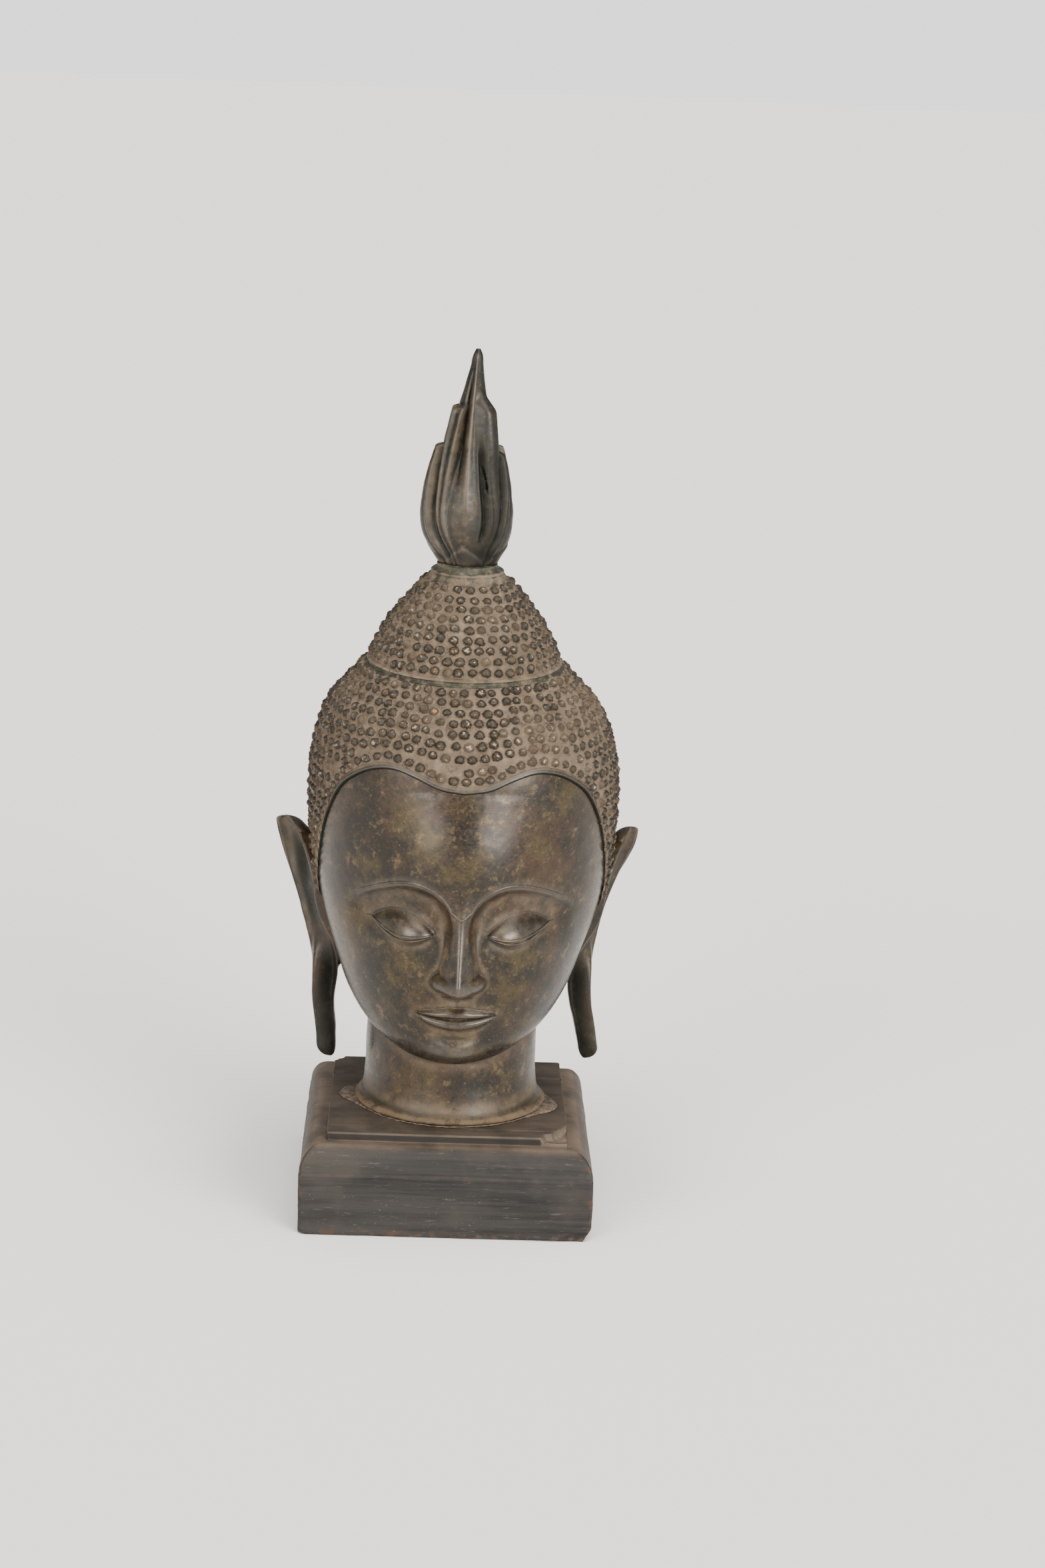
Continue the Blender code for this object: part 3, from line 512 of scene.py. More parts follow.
def turned(angle, reach, z, deep=1.0):
    """A place at this angle and reach round the head's leaning axis, on rings this much deeper than wide."""
    return lean(np.stack(np.broadcast_arrays(reach * np.sin(angle), -deep * reach * np.cos(angle), z), -1))


def skin(angle, z, rise=0.0):
    """A place on the head in metres, with the face's forms in front and a rise above the smooth surface."""
    reach = head_reach(angle, z) + rise
    x = reach * np.sin(angle)
    above = ease(z - hairline(np.degrees(np.abs(angle))), -0.02, 0.14)
    facing = ease(np.cos(angle), 0.05, 0.45) * (1 - above)
    y = -reach * np.cos(angle) - facing * face_push(x, z)
    return lean(np.stack([x, y, np.broadcast_to(z, x.shape)], -1))


def outward(surface, angle, z):
    """Place on a surface, with its unit directions to the right, up and outwards."""
    small = 0.004
    here = surface(angle, z)
    right = surface(angle + small, z) - surface(angle - small, z)
    up = surface(angle, z + small) - surface(angle, z - small)
    out = np.cross(right, up)
    right, out = [v / np.linalg.norm(v, axis=-1, keepdims=True) for v in (right, out)]
    return here, right, np.cross(out, right), out


def normals(grid):
    """Unit directions outwards at the points of a grid of rings: along the ring, crossed with up the rows."""
    out = np.cross(np.roll(grid, -1, 1) - np.roll(grid, 1, 1), np.gradient(grid, axis=0))
    return out / (np.linalg.norm(out, axis=-1, keepdims=True) + 1e-12)


def roughened(grid, *waves):
    """A grid moved along its normals by soft noise. Each wave is a height, the size of its cubes and a seed."""
    push = sum(height * mottle(grid, size, seed) for height, size, seed in waves)
    return grid + normals(grid) * push[..., None]


def hollows(grid, steps):
    """How far each point of a grid lies below the mean of its neighbours this many steps away, in metres."""
    padded = np.concatenate([grid[:1]] * steps + [grid] + [grid[-1:]] * steps)
    across = np.roll(grid, steps, 1) + np.roll(grid, -steps, 1)
    mean = (padded[:-2 * steps] + padded[2 * steps:] + across) / 4
    return ((mean - grid) * normals(grid)).sum(-1)


def soften(values, times):
    """Evens out a grid of numbers: each becomes a mean of itself and its four neighbours, this many times over."""
    for _ in range(times):
        padded = np.pad(values, ((1, 1), (0, 0)), mode="edge")
        values = (values * 2 + padded[:-2] + padded[2:] + np.roll(values, 1, 1) + np.roll(values, -1, 1)) / 6
    return values


def skin_grid():
    """Rings up the neck and the face. They dip under the chin, ride up along the jaw and end on the hairline.
    They are closest together where the face's forms are steepest. Gives their heights and their points."""
    low, high, samples = 2.95, 15.6, 900
    turn = np.arange(SKIN_COLUMNS) / SKIN_COLUMNS * 2 * math.pi
    angle = turn - 0.62 * np.sin(turn)
    angle = np.where(angle > math.pi, angle - 2 * math.pi, angle)
    crease = low + 2.1 * (1 - np.maximum(np.cos(angle), 0))
    top = hairline(np.minimum(np.degrees(np.abs(angle)), 95)) + 0.12
    level = np.linspace(low, high, samples)
    length = 0
    for sideways in (0.0, 0.12, 0.35):
        line = skin(np.full(samples, sideways), level) / FINGER
        length = length + np.concatenate([[0], np.cumsum(np.linalg.norm(np.diff(line, axis=0), axis=1))])
    face = np.interp(np.linspace(0, length[-1], FACE_ROWS), length, level)
    neck = np.linspace(0, 1, NECK_ROWS)[:-1, None] ** 1.15 * crease
    face = crease + (top - crease) * (face[:, None] - low) / (high - low)
    z = np.concatenate([neck, face])
    return z, skin(np.broadcast_to(angle, z.shape), z)


def sweep(centres, outs, section, widths, heights, loop=False):
    """Runs a closed section of (up, out) places along a path. Gives the points and faces of a tube with closed ends."""
    rows, columns = len(centres), len(section)
    ahead = np.roll(centres, -1, 0) - np.roll(centres, 1, 0) if loop else np.gradient(centres, axis=0)
    up = np.cross(outs, ahead)
    up /= np.linalg.norm(up, axis=-1, keepdims=True)
    sideways = section[:, 0] * np.broadcast_to(widths, rows)[:, None]
    lifted = section[:, 1] * np.broadcast_to(heights, rows)[:, None]
    grid = centres[:, None] + up[:, None] * sideways[..., None] + outs[:, None] * lifted[..., None]
    if loop:
        return grid.reshape(-1, 3), [grid_quads(rows + 1, columns) % grid[..., 0].size]
    return closed_grid(grid)


def merged(parts):
    """Several lots of points and faces as one."""
    starts = np.cumsum([0] + [len(points) for points, _ in parts])
    faces = [group + start for (_, groups), start in zip(parts, starts) for group in groups]
    return np.concatenate([points for points, _ in parts]), faces


def rounded(count, low=0.5):
    """A section with a half-round top and a shallow sunk bottom."""
    turn = np.linspace(0, math.pi, count)
    top = np.stack([np.cos(turn), np.sin(turn)], -1)
    return np.concatenate([top, [[-0.7, -low], [0.7, -low]]])


def brass_patina(name, dark, olive, red, dusty, gloss, rubbed="#4a443c"):
    """Cast brass under an old patina. Low metallic, since the oxide covers the metal; the waxed oxide is glossy
    enough for soft highlights. Rubbed places are greyer, and on the flame's front ridge and the band's crest
    this grey is also a painted highlight. Dust kills the shine in the hollows, and the shade mask is painted
    shade, which makes the brass dark, matt and metallic."""
    material, tree, shader = new_material(name, {"Specular IOR Level": 0.48})
    where = add(tree, "TexCoord", out="Object")
    askew = add(tree, "Mapping", {"Vector": where, "Location": (3.1, 1.7, 5.3), "Rotation": (0.4, 0.9, 0.2)})
    brushed = add(tree, "Mapping", {"Vector": where, "Rotation": (0.1, 0.2, 0.0), "Scale": (50.0, 50.0, 1300.0)})
    # Clouds, stains, spots and grain are given by the size of a spot. Brush marks run round, 1,300 to a metre.
    clouds, stains, spots, fine, marks = (
        add(tree, "TexNoise", {"Vector": place, "Scale": 0.5 / size, "Detail": detail, "Roughness": rough})
        for place, size, detail, rough in (
            (where, 20 * MM, 7.0, 0.7), (askew, 13 * MM, 8.0, 0.74), (where, 3.4 * MM, 6.0, 0.7),
            (askew, 0.8 * MM, 4.0, 0.7), (brushed, 0.5, 4.0, 0.7))
    )
    # The shade mask, called deep below, is painted shade: it lays on a near black colour and raises roughness and
    # metallic.
    rub, film, deep = (
        patterned(tree, "MULTIPLY", add(tree, "Attribute", out="Fac", attribute_name=mask), spots, low, high, least)
        for mask, low, high, least in (("rub", 0.3, 0.55, 0.4), ("dust", 0.3, 0.6, 0.35), ("shade", 0.25, 0.6, 0.7))
    )
    colour = coats(
        tree, dark, (clouds, 0.42, 0.62, 1.0, red), (stains, 0.47, 0.64, 0.9, olive),
        (stains, 0.47, 0.33, 0.9, "#15170f"), (spots, 0.54, 0.7, 0.7, "#5c4c32"), (spots, 0.48, 0.32, 0.75, "#100e0a"),
        (fine, 0.47, 0.3, 0.5, "#0f0e0b"), (fine, 0.58, 0.74, 0.5, "#6a5c48"),
        (rub, rubbed), (film, dusty), (deep, "#191a15"),
    )
    waxed = add(tree, "MapRange", {0: fine, 1: 0.3, 2: 0.7, 3: gloss - 0.08, 4: gloss + 0.06},
                interpolation_type="SMOOTHSTEP")
    waxed = patterned(tree, "ADD", waxed, marks, 0.35, 0.7, 0.0, 0.07)
    matt, bare = (add(tree, "Math", {0: deep, 1: part}, operation="MULTIPLY", use_clamp=True) for part in (0.6, 0.9))
    matt = add(tree, "Math", {0: film, 1: matt}, operation="MAXIMUM")
    rough = add(tree, "Mix", {0: matt, 2: waxed, 3: 0.85})
    metallic = patterned(tree, "MAXIMUM", bare, film, 0, 0.8, 0.35, 0.0)
    bump = add(tree, "Bump", {"Strength": 0.2, "Distance": 0.1 * MM, "Height": fine})
    plug(tree, shader, {"Base Color": colour, "Roughness": rough, "Metallic": metallic, "Normal": bump})
    return material


skin_brass = brass_patina("dark_patinated_brass", "#1a160f", "#3b3019", "#332317", "#5a4a36", 0.3)
z, grid = skin_grid()
grid = roughened(grid, (0.1 * MM, 11 * MM, 21), (0.035 * MM, 2.6 * MM, 22))
# Dust lies in the broad hollows and round the foot, high places are rubbed, and narrow hollows get painted shade.
fold = soften(hollows(grid, 4), 12)
dust = soften(np.clip(fold / (0.3 * MM) - 0.15, 0, 0.42), 6)
foot = 1 - ease(z, 0.2, 0.3)
dust = np.clip(dust + 0.95 * foot + 0.16 * (1 - ease(z, 0.3, 1.4)), 0, 1)
rub = soften(np.clip(-fold / (0.35 * MM) - 0.2, 0, 0.6), 3) * ease(z, 1.0, 4.0)
shade = np.clip(soften(hollows(grid, 3), 2) / (0.35 * MM) - 0.5, 0, 0.6)
skin_piece = new_piece("neck_and_face", *closed_grid(grid, top=False), skin_brass, 50, dust=np.append(dust, 1), rub=rub,
                       shade=shade)
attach(skin_piece, "root")
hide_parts("bronze_head")


# Bedding putty. The foot of the casting is bedded on the panel in tan putty that was pressed in by hand. It shows as
# a thin uneven bead in front and as larger lumps on the left and the right.
PUTTY_STEPS = 420
PUTTY_REACH = 4.16
angle = np.linspace(-math.pi, math.pi, PUTTY_STEPS, endpoint=False)
lumps = bell(np.abs(angle + 0.1), 1.42, 0.26) + 0.8 * bell(angle, 2.4, 0.3)
around = np.stack([np.sin(angle), np.cos(angle), 0 * angle], -1) * 50 * MM
uneven = 0.6 * mottle(around, 12 * MM, 61) + 0.18 * mottle(around, 4 * MM, 62)
reach = PUTTY_REACH + 0.22 * lumps * (1 + 0.6 * uneven)
ring = turned(angle, reach, 0)
ring[:, 2] = PLINTH_TOP
width = (0.7 + 0.3 * uneven + 4.6 * lumps * (1 + 0.5 * uneven)) * MM
height = (0.35 + 0.2 * uneven + 1.4 * lumps * (1 + 0.4 * uneven)) * MM
points, faces = sweep(ring, np.tile([0.0, 0.0, 1.0], (PUTTY_STEPS, 1)), rounded(9, 0.2), width, height, loop=True)
points = points + (0.15 * MM * mottle(points, 2.2 * MM, 63))[:, None]
points[:, 2] = np.maximum(points[:, 2], PLINTH_TOP - 0.5 * MM)
# Dried putty is matt and crumbly, so its grains are drawn 1.2 mm wide in two tans.
putty, tree, shader = new_material("dried_putty", {"Roughness": 0.9})
where = add(tree, "TexCoord", out="Object")
grain = add(tree, "TexNoise", {"Vector": where, "Scale": 0.5 / (1.2 * MM), "Detail": 4.0, "Roughness": 0.55})
plug(tree, shader, {"Base Color": add(tree, "ValToRGB", {0: grain}, [(0.35, "#352c23"), (0.62, "#605243")]),
                    "Normal": add(tree, "Bump", {"Strength": 0.6, "Distance": 0.3 * MM, "Height": grain})})
bead = new_piece("bedding_putty", points, faces, putty, 180)
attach(bead, "root")


# Chased lines. Fine raised threads follow the brows, the lids and the lips of the casting, as a chaser's punch
# leaves them. They are part of it, and their tops are rubbed.
def on_face(x, z):
    """The angle at which the smooth head is this far across, closed in on in a few rounds."""
    angle = np.zeros_like(x)
    for _ in range(6):
        angle = np.arcsin(np.clip(x / head_reach(angle, z), -0.98, 0.98))
    return angle


def thread(x, z, width, height):
    """A half-round line that thins out at both ends, run over the face through places given in fingers."""
    centre, right, up, out = outward(skin, on_face(x, z), z)
    weights = np.hanning(15) / np.hanning(15).sum()
    padded = np.pad(out, ((7, 7), (0, 0)), mode="edge")
    out = np.stack([np.convolve(padded[:, k], weights, "valid") for k in range(3)], -1)
    share = np.linspace(0, 1, len(x))
    taper = np.sqrt(np.clip(np.minimum(share, 1 - share) / 0.16, 0.003, 1))
    return sweep(centre, out, rounded(7, 1.2), width * taper, height * taper)


x = np.linspace(-4.75, 4.75, 420)
lines = [thread(x, brow_height(x) + 0.03 - 0.3 * bell(x, 0, 0.3), 0.7 * MM, 0.45 * MM)]
for side in (-1, 1):
    x = np.linspace(EYE_GAP / 2 - 0.08, EYE_GAP / 2 + EYE_WIDTH + 0.25, 160)[::side] * side
    arch, edge, crease, bag = lid_lines(x)
    for line, width, height in ((edge + 0.03, 0.6, 0.7), (edge - 0.2 * arch, 0.45, 0.5), (crease + 0.02, 0.35, 0.2)):
        lines.append(thread(x, line, width * MM, height * MM))
x = np.linspace(-1.76, 1.76, 220)
across, parting, top, bottom = lip_lines(x)
lines += [thread(x, top + 0.02, 0.42 * MM, 0.4 * MM), thread(x, bottom, 0.4 * MM, 0.3 * MM)]
points, faces = merged(lines)
marks = {"rub": np.full(len(points), 0.35), "dust": np.full(len(points), 0.12)}
threads = new_piece("chased_lines", points, faces, skin_brass, 180, **marks)
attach(threads, "root")


# Hair and crown. The ground between the curls is part of the same casting: a cap that stands a little proud of the
# face, a smooth groove, the crown (ushnisha) over it and a plain ring on top. Dust has settled all over it.
HAIR_RISE = 0.1
RING = GROOVE + CROWN
SEAT = RING + 0.58
CROWN_DEEP = 1.04
crown_radius = curve_through(
    [(0, 4.1), (0.043, 4.05), (0.229, 3.78), (0.443, 3.4), (0.6, 3.03), (0.743, 2.64), (0.886, 2.22), (1, 1.9),
     (1.06, 1.72)]
)


def hair(angle, z):
    """A place on the hair's ground, below the groove."""
    return turned(angle, head_reach(angle, z) + HAIR_RISE, z)


def crown(angle, z):
    """A place on the crown's ground, above the groove."""
    return turned(angle, crown_radius((z - GROOVE) / CROWN), z, CROWN_DEEP)


def dusty_ground():
    """The casting between the curls, under packed dust: matt tan with brown and rosy clouds, dark pits, pale grains
    and fine dark cracks. The dark patina shows through where there is less dust, as on the ring."""
    material, tree, shader = new_material("dusty_brass", {"Specular IOR Level": 0.25})
    where = add(tree, "TexCoord", out="Object")
    clouds, patches, grains = (
        add(tree, "TexNoise", {"Vector": where, "Scale": 0.5 / size, "Detail": detail, "Roughness": rough})
        for size, detail, rough in ((14 * MM, 5.0, 0.6), (2.6 * MM, 5.0, 0.65), (0.5 * MM, 3.0, 0.7))
    )
    # The cracks run between cells about 10 mm across, bent by a coarse noise, where the clouds are palest.
    bend = add(tree, "TexNoise", {"Vector": where, "Scale": 160.0}, out="Color")
    bent = add(tree, "Mix", {0: 0.012, 4: where, 5: bend}, out=1, data_type="VECTOR")
    cracks = add(tree, "TexVoronoi", {"Vector": bent, "Scale": 95.0}, feature="DISTANCE_TO_EDGE")
    cracks = add(tree, "MapRange", {0: cracks, 1: 0.022, 2: 0.0}, interpolation_type="SMOOTHSTEP")
    cracks = patterned(tree, "MULTIPLY", cracks, clouds, 0.57, 0.64)
    dust = add(tree, "Attribute", out="Fac", attribute_name="dust")
    film = patterned(tree, "ADD", dust, patches, 0.3, 0.7, -0.3, 0.3)
    film = add(tree, "MapRange", {0: film, 1: 0.2, 2: 0.7}, interpolation_type="SMOOTHSTEP")
    tan = coats(tree, "#52473a", (clouds, 0.38, 0.62, 1.0, "#635549"), (patches, 0.5, 0.7, 0.8, "#6f624f"),
                (patches, 0.46, 0.3, 0.75, "#372f25"))
    patina = coats(tree, "#2b2a23", (patches, 0.4, 0.6, 1.0, "#3e3e30"))
    colour = coats(tree, patina, (film, tan), (grains, 0.66, 0.78, 0.5, "#6c6151"),
                   (grains, 0.36, 0.26, 0.7, "#1d1813"), (cracks, "#14110d"))
    rough = add(tree, "MapRange", {0: film, 3: 0.5, 4: 0.9}, interpolation_type="SMOOTHSTEP")
    rise = add(tree, "Math", {0: patches, 1: grains}, operation="ADD")
    bump = add(tree, "Bump", {"Strength": 0.8, "Distance": 0.4 * MM, "Height": rise})
    plug(tree, shader, {"Base Color": colour, "Roughness": rough, "Normal": bump})
    return material


HAIR_COLUMNS, HAIR_ROWS = 360, 120
angle = (np.arange(HAIR_COLUMNS) / HAIR_COLUMNS * 2 - 1) * math.pi
start = hairline(np.degrees(np.abs(angle))) + 0.2
ground = hair(angle, start + (GROOVE - 0.05 - start) * np.linspace(0, 1, HAIR_ROWS)[:, None])
lip = skin(angle, start - 0.02, -0.05)[None]
# The groove, the crown and the ring as (radius, height) places.
groove = [[4.22, 19.68], [4.15, 19.71], [4.11, 19.75], [4.1, 19.8], [4.12, 19.85], [4.17, 19.88], [4.12, 19.95]]
climb = np.linspace(0.08, 1.04, 48)
ring = [[1.75, 23.38], [1.7, 23.41], [1.66, 23.48], [1.61, 23.56], [1.56, 23.63], [1.535, 23.68], [1.55, 23.72],
        [1.545, 23.76], [1.5, 23.8], [1.42, 23.83], [1.36, 23.87], [1.31, 23.93], [1.29, 24.0], [1.285, 24.06],
        [1.15, 24.08]]
over = np.concatenate([groove, np.stack([crown_radius(climb), GROOVE + CROWN * climb], -1), ring])
rows = np.concatenate([lip, ground, turned(angle, over[:, :1], over[:, 1:], CROWN_DEEP)])
rows = roughened(rows, (0.14 * MM, 4 * MM, 31), (0.06 * MM, 1.5 * MM, 32))
# Packed dust everywhere, less of it in the groove, and on the ring a pale seam over dark patina.
dust = 0.8 + 0.2 * mottle(rows, 7 * MM, 33)
dust[len(ground):len(ground) + 6] -= 0.55
bare = len(rows) - len(ring)
height = np.array(ring)[:, 1]
pale = bell(height, 23.74, 0.035) + 0.35 * (height < 23.68) + 0.15
dust[bare:] = np.clip(pale[:, None] + 0.25 * mottle(rows[bare:], 4 * MM, 34), 0, 1)
scalp = new_piece("hair_ground", *closed_grid(rows, foot=False), dusty_ground(), 50, dust=np.append(dust, 0.3))
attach(scalp, "root")


# Hairline band. A fillet about 3.5 mm wide is raised between the face and the hair, with a groove along it. It
# carries on round the nape as the hair's lower edge. It is dark; its crest is rubbed grey, which is also a painted
# highlight, its lower edge has painted shadow, and dust lies on its upper slope.
BAND_STEPS = 900
BAND_LIFT = 0.08
angle = np.linspace(-math.pi, math.pi, BAND_STEPS, endpoint=False)
centre, right, up, out = outward(skin, angle, hairline(np.degrees(np.abs(angle))) + BAND_LIFT)
section = np.array([[1.0, -0.6], [0.98, 0.3], [0.85, 0.75], [0.6, 0.86], [0.4, 0.8], [0.15, 0.93], [-0.1, 1.0],
                    [-0.32, 0.93], [-0.48, 0.74], [-0.58, 0.45], [-0.66, 0.1], [-0.74, -0.2], [-0.8, -0.6]])
front = 1 - ease(np.abs(angle), math.radians(48), math.radians(84))
band = sweep(centre, out, section, (1.5 + 0.8 * front) * MM, (0.9 + 0.9 * front) * MM, loop=True)
# Rub on the crest: grey wear that also stands as a painted highlight.
rub = np.tile(np.interp(section[:, 0], [-0.5, -0.3, -0.1, 0.2], [0, 0.7, 0.8, 0.1]), len(angle))
dust = np.tile(np.interp(section[:, 0], [-0.2, 0.2, 0.6, 1], [0, 0.25, 0.6, 0.9]), len(angle))
dust = np.maximum(dust, np.repeat(0.8 * (1 - front), len(section)) * (np.tile(section[:, 0], len(angle)) > -0.45))
# Painted shadow along the band's lower edge, near black.
shade = np.tile(np.interp(section[:, 0], [-0.35, -0.15], [0.95, 0]), len(angle))
band_brass = brass_patina("dark_brass_fillet", "#15120e", "#1f1a11", "#1c140e", "#56493a", 0.3)
piece = new_piece("hairline_band", *band, band_brass, 60, rub=rub, dust=dust, shade=shade)
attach(piece, "root")


# Hair curls. About 1,700 small knobs cast with the hair, each a blunt cone with a worn tip. The first row follows
# the hairline; the next rows follow its wave less and less and end level at the groove. The crown has its own.
CURL_ACROSS, CURL_PITCH, FIRST_PITCH = 6.5 * MM, 5.85 * MM, 6.1 * MM
CURL_RADIUS, CURL_HEIGHT = 2.3 * MM, 2.2 * MM
CURL_CLEAR = 4.7 * MM
CURL_SIDES = 10
LINE_LEVEL = 15.9
FIRST_LIFT, NEXT_LIFT = 0.52, 0.72
EAR_ROOT_START, EAR_ROOT_END = 86, 106
curl_profile = np.array([[1.42, -0.1], [1.16, 0.04], [0.98, 0.34], [0.82, 0.66], [0.52, 0.9], [0.22, 0.97]])
rng = np.random.default_rng(7)


def evenly_along(place, pitch, phase, *values):
    """Even steps along a line of places in metres. Gives what each list of values comes to at the steps."""
    length = np.concatenate([[0], np.cumsum(np.linalg.norm(np.diff(place, axis=0), axis=1))])
    count = max(int(round(length[-1] / pitch)), 3)
    index = np.arange(len(place))
    steps = np.interp((np.arange(count) + phase) / count * length[-1], length, index)
    return [np.interp(steps, index, value) for value in values]


def curl_rows():
    """Places of the curls as (angle, height), row by row: those of the hair, then those of the crown. None stands
    where an ear is rooted, nor closer to the rows below than one curl's width."""
    ring = np.linspace(-math.pi, math.pi, 1441)
    degrees = np.abs(np.degrees(ring))
    line = hairline(degrees)
    wave = (line - LINE_LEVEL) * (1 - ease(degrees, 38, 58))
    angle, z = evenly_along(hair(ring, line + FIRST_LIFT), FIRST_PITCH, 0.5, ring, line)
    z, turn = z + FIRST_LIFT, np.abs(np.degrees(angle))
    kept = [np.stack([angle, z], -1)[~((z < 12.5) & (turn > EAR_ROOT_START) & (turn < EAR_ROOT_END))]]
    placed = hair(*kept[0].T)
    level = np.linspace(5.8, GROOVE - 0.22, 3000)[::-1]
    heights, = evenly_along(hair(np.full(len(level), 0.9), level), CURL_PITCH, 0.0, level)
    for k, height in enumerate(heights):
        row = height + wave * math.exp(-max(height - LINE_LEVEL, 0) / 1.5)
        phase = 0.5 * (k % 2) + 0.25 * rng.random()
        angle, z = evenly_along(hair(ring, row), CURL_ACROSS, phase, ring, row)
        turn = np.abs(np.degrees(angle))
        keep = (z > hairline(turn) + NEXT_LIFT) & ~((z < 12.3) & (turn > EAR_ROOT_START) & (turn < EAR_ROOT_END))
        if keep.any():
            row = np.stack([angle, z], -1)[keep]
            place = hair(*row.T)
            clear = np.linalg.norm(place[:, None] - placed[None], axis=-1).min(1) > CURL_CLEAR
            kept.append(row[clear])
            placed = np.concatenate([placed, place[clear]])
    over = []
    level = np.linspace(GROOVE + 0.3, GROOVE + 1.06 * CROWN, 2000)
    heights, = evenly_along(crown(np.full(len(level), 0.9), level), CURL_PITCH, 0.5, level)
    for k, height in enumerate(heights):
        phase = 0.5 * (k % 2) + 0.2 * rng.random()
        angle, = evenly_along(crown(ring, np.full(len(ring), height)), CURL_ACROSS, phase, ring)
        over.append(np.stack([angle, np.full(len(angle), height)], -1))
    return np.concatenate(kept), np.concatenate(over)


def curls(surface, spots):
    """One knob a spot, turned, tilted and sized a little differently, its base sunk in the hair's ground. A knob is
    the profile turned about its axis, with the radius times 1 + three waves round it. Gives height and shade too."""
    spots = spots + rng.normal(0, 1, spots.shape) * np.array([0.008, 0.018])
    centre, right, up, out = outward(surface, *spots.T)
    count, levels = len(spots), len(curl_profile)
    width, rise = curl_profile[:, 0, None], curl_profile[:, 1, None]
    size = np.clip(rng.normal(1, 0.06, count), 0.85, 1.12)[:, None, None]
    turn = rng.uniform(0, 2 * math.pi, count)[:, None, None] + np.arange(CURL_SIDES) * 2 * math.pi / CURL_SIDES
    shape = 0.07 * np.cos(turn + 1.3) + 0.08 * np.cos(2 * turn) + 0.04 * np.cos(3 * turn + 2)
    radius = width * CURL_RADIUS * size * (1 + shape)
    radius = radius * (1 + 0.012 * rng.normal(0, 1, (count, levels, CURL_SIDES)))
    shift = rng.normal(0, 0.22 * MM, (2, count))[..., None, None] * rise
    lifted = rise * CURL_HEIGHT * size * np.clip(rng.normal(1, 0.1, count), 0.8, 1.15)[:, None, None]
    offsets = radius * np.cos(turn) + shift[0], radius * np.sin(turn) + shift[1], np.broadcast_to(lifted, radius.shape)
    points = centre[:, None, None] + sum(o[..., None] * d[:, None, None] for o, d in zip(offsets, (right, up, out)))
    tips = centre + out * (lifted[:, -1] * 1.13) + right * shift[0][:, -1] + up * shift[1][:, -1]
    start = (np.arange(count) * levels * CURL_SIDES)[:, None, None]
    sides = (start + grid_quads(levels, CURL_SIDES)).reshape(-1, 4)
    last = np.arange(CURL_SIDES) + (levels - 1) * CURL_SIDES
    middle = np.broadcast_to(count * levels * CURL_SIDES + np.arange(count)[:, None], (count, CURL_SIDES))
    fan = np.stack([start[:, 0] + last, start[:, 0] + np.roll(last, -1), middle], -1).reshape(-1, 3)
    shade = np.clip(rng.normal(0.5, 0.25, count), 0, 1)
    high = np.broadcast_to(np.clip(rise, 0, 1), (count, levels, CURL_SIDES)).reshape(-1)
    height = np.concatenate([high, np.ones(count)])
    shade = np.concatenate([np.repeat(shade, levels * CURL_SIDES), shade])
    return np.vstack([points.reshape(-1, 3), tips]), [sides, fan], height, shade


def curl_patina():
    """The same brass on the curls: dust up to a third of their height, dark oxide on their sides, darkest just above
    the dust, where it is also painted shade at their foot, and tips that hands have polished to small
    glints, a few of them orange."""
    material, tree, shader = new_material("curl_brass", {"Specular IOR Level": 0.2})
    where = add(tree, "TexCoord", out="Object")
    height, shade = (add(tree, "Attribute", out="Fac", attribute_name=name) for name in ("height", "shade"))
    fine, worn, broad = (
        add(tree, "TexNoise", {"Vector": where, "Scale": 0.5 / size, "Detail": detail, "Roughness": rough})
        for size, detail, rough in ((0.8 * MM, 4.0, 0.6), (2.2 * MM, 4.0, 0.65), (24 * MM, 3.0, 0.55))
    )
    uneven = patterned(tree, "ADD", height, fine, 0.3, 0.7, -0.2, 0.2)
    uneven = patterned(tree, "ADD", uneven, worn, 0.3, 0.7, -0.22, 0.22)
    dusty, foot, glint = (
        add(tree, "MapRange", {0: value, 1: low, 2: high, 4: most}, interpolation_type="SMOOTHSTEP")
        for value, low, high, most in ((broad, 0.5, 0.68, 0.6), (uneven, 0.42, 0.02, 1.0), (uneven, 1.04, 1.2, 0.9))
    )
    dusty = patterned(tree, "MAXIMUM", dusty, shade, 0.3, 0.1, 0.0, 0.75)
    body = coats(tree, "#1f1b15", (shade, "#373026"), (fine, 0.52, 0.68, 0.7, "#564a3b"))
    film = coats(tree, "#3d3429", (worn, 0.35, 0.65, 1.0, "#5e5142"))
    packed = coats(tree, "#574b3d", (broad, 0.4, 0.6, 1.0, "#605345"))
    metal = coats(tree, "#857a6d", (shade, 0.82, 0.9, 1.0, "#8a6030"))
    # The near-black base colour shows low on each knob: oxide, and painted shade where it meets the ground.
    colour = coats(tree, "#17130e", (uneven, 0.3, 0.9, 1.0, body), (dusty, film), (foot, packed), (glint, metal))
    matt = add(tree, "Math", {0: dusty, 1: foot}, operation="MAXIMUM")
    matt = add(tree, "MapRange", {0: matt, 2: 0.6, 3: 0.5, 4: 0.88}, interpolation_type="SMOOTHSTEP")
    rough = add(tree, "Mix", {0: glint, 2: matt, 3: 0.28})
    metallic = add(tree, "MapRange", {0: glint, 4: 0.7}, interpolation_type="SMOOTHSTEP")
    bump = add(tree, "Bump", {"Strength": 0.8, "Distance": 0.35 * MM, "Height": fine})
    plug(tree, shader, {"Base Color": colour, "Roughness": rough, "Metallic": metallic, "Normal": bump})
    return material


curl_brass = curl_patina()
below, above = curl_rows()
for name, surface, spots in (("hair_curls", hair, below), ("crown_curls", crown, above)):
    points, faces, height, shade = curls(surface, spots)
    piece = new_piece(name, points, faces, curl_brass, 180, height=height, shade=shade)
    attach(piece, "root")
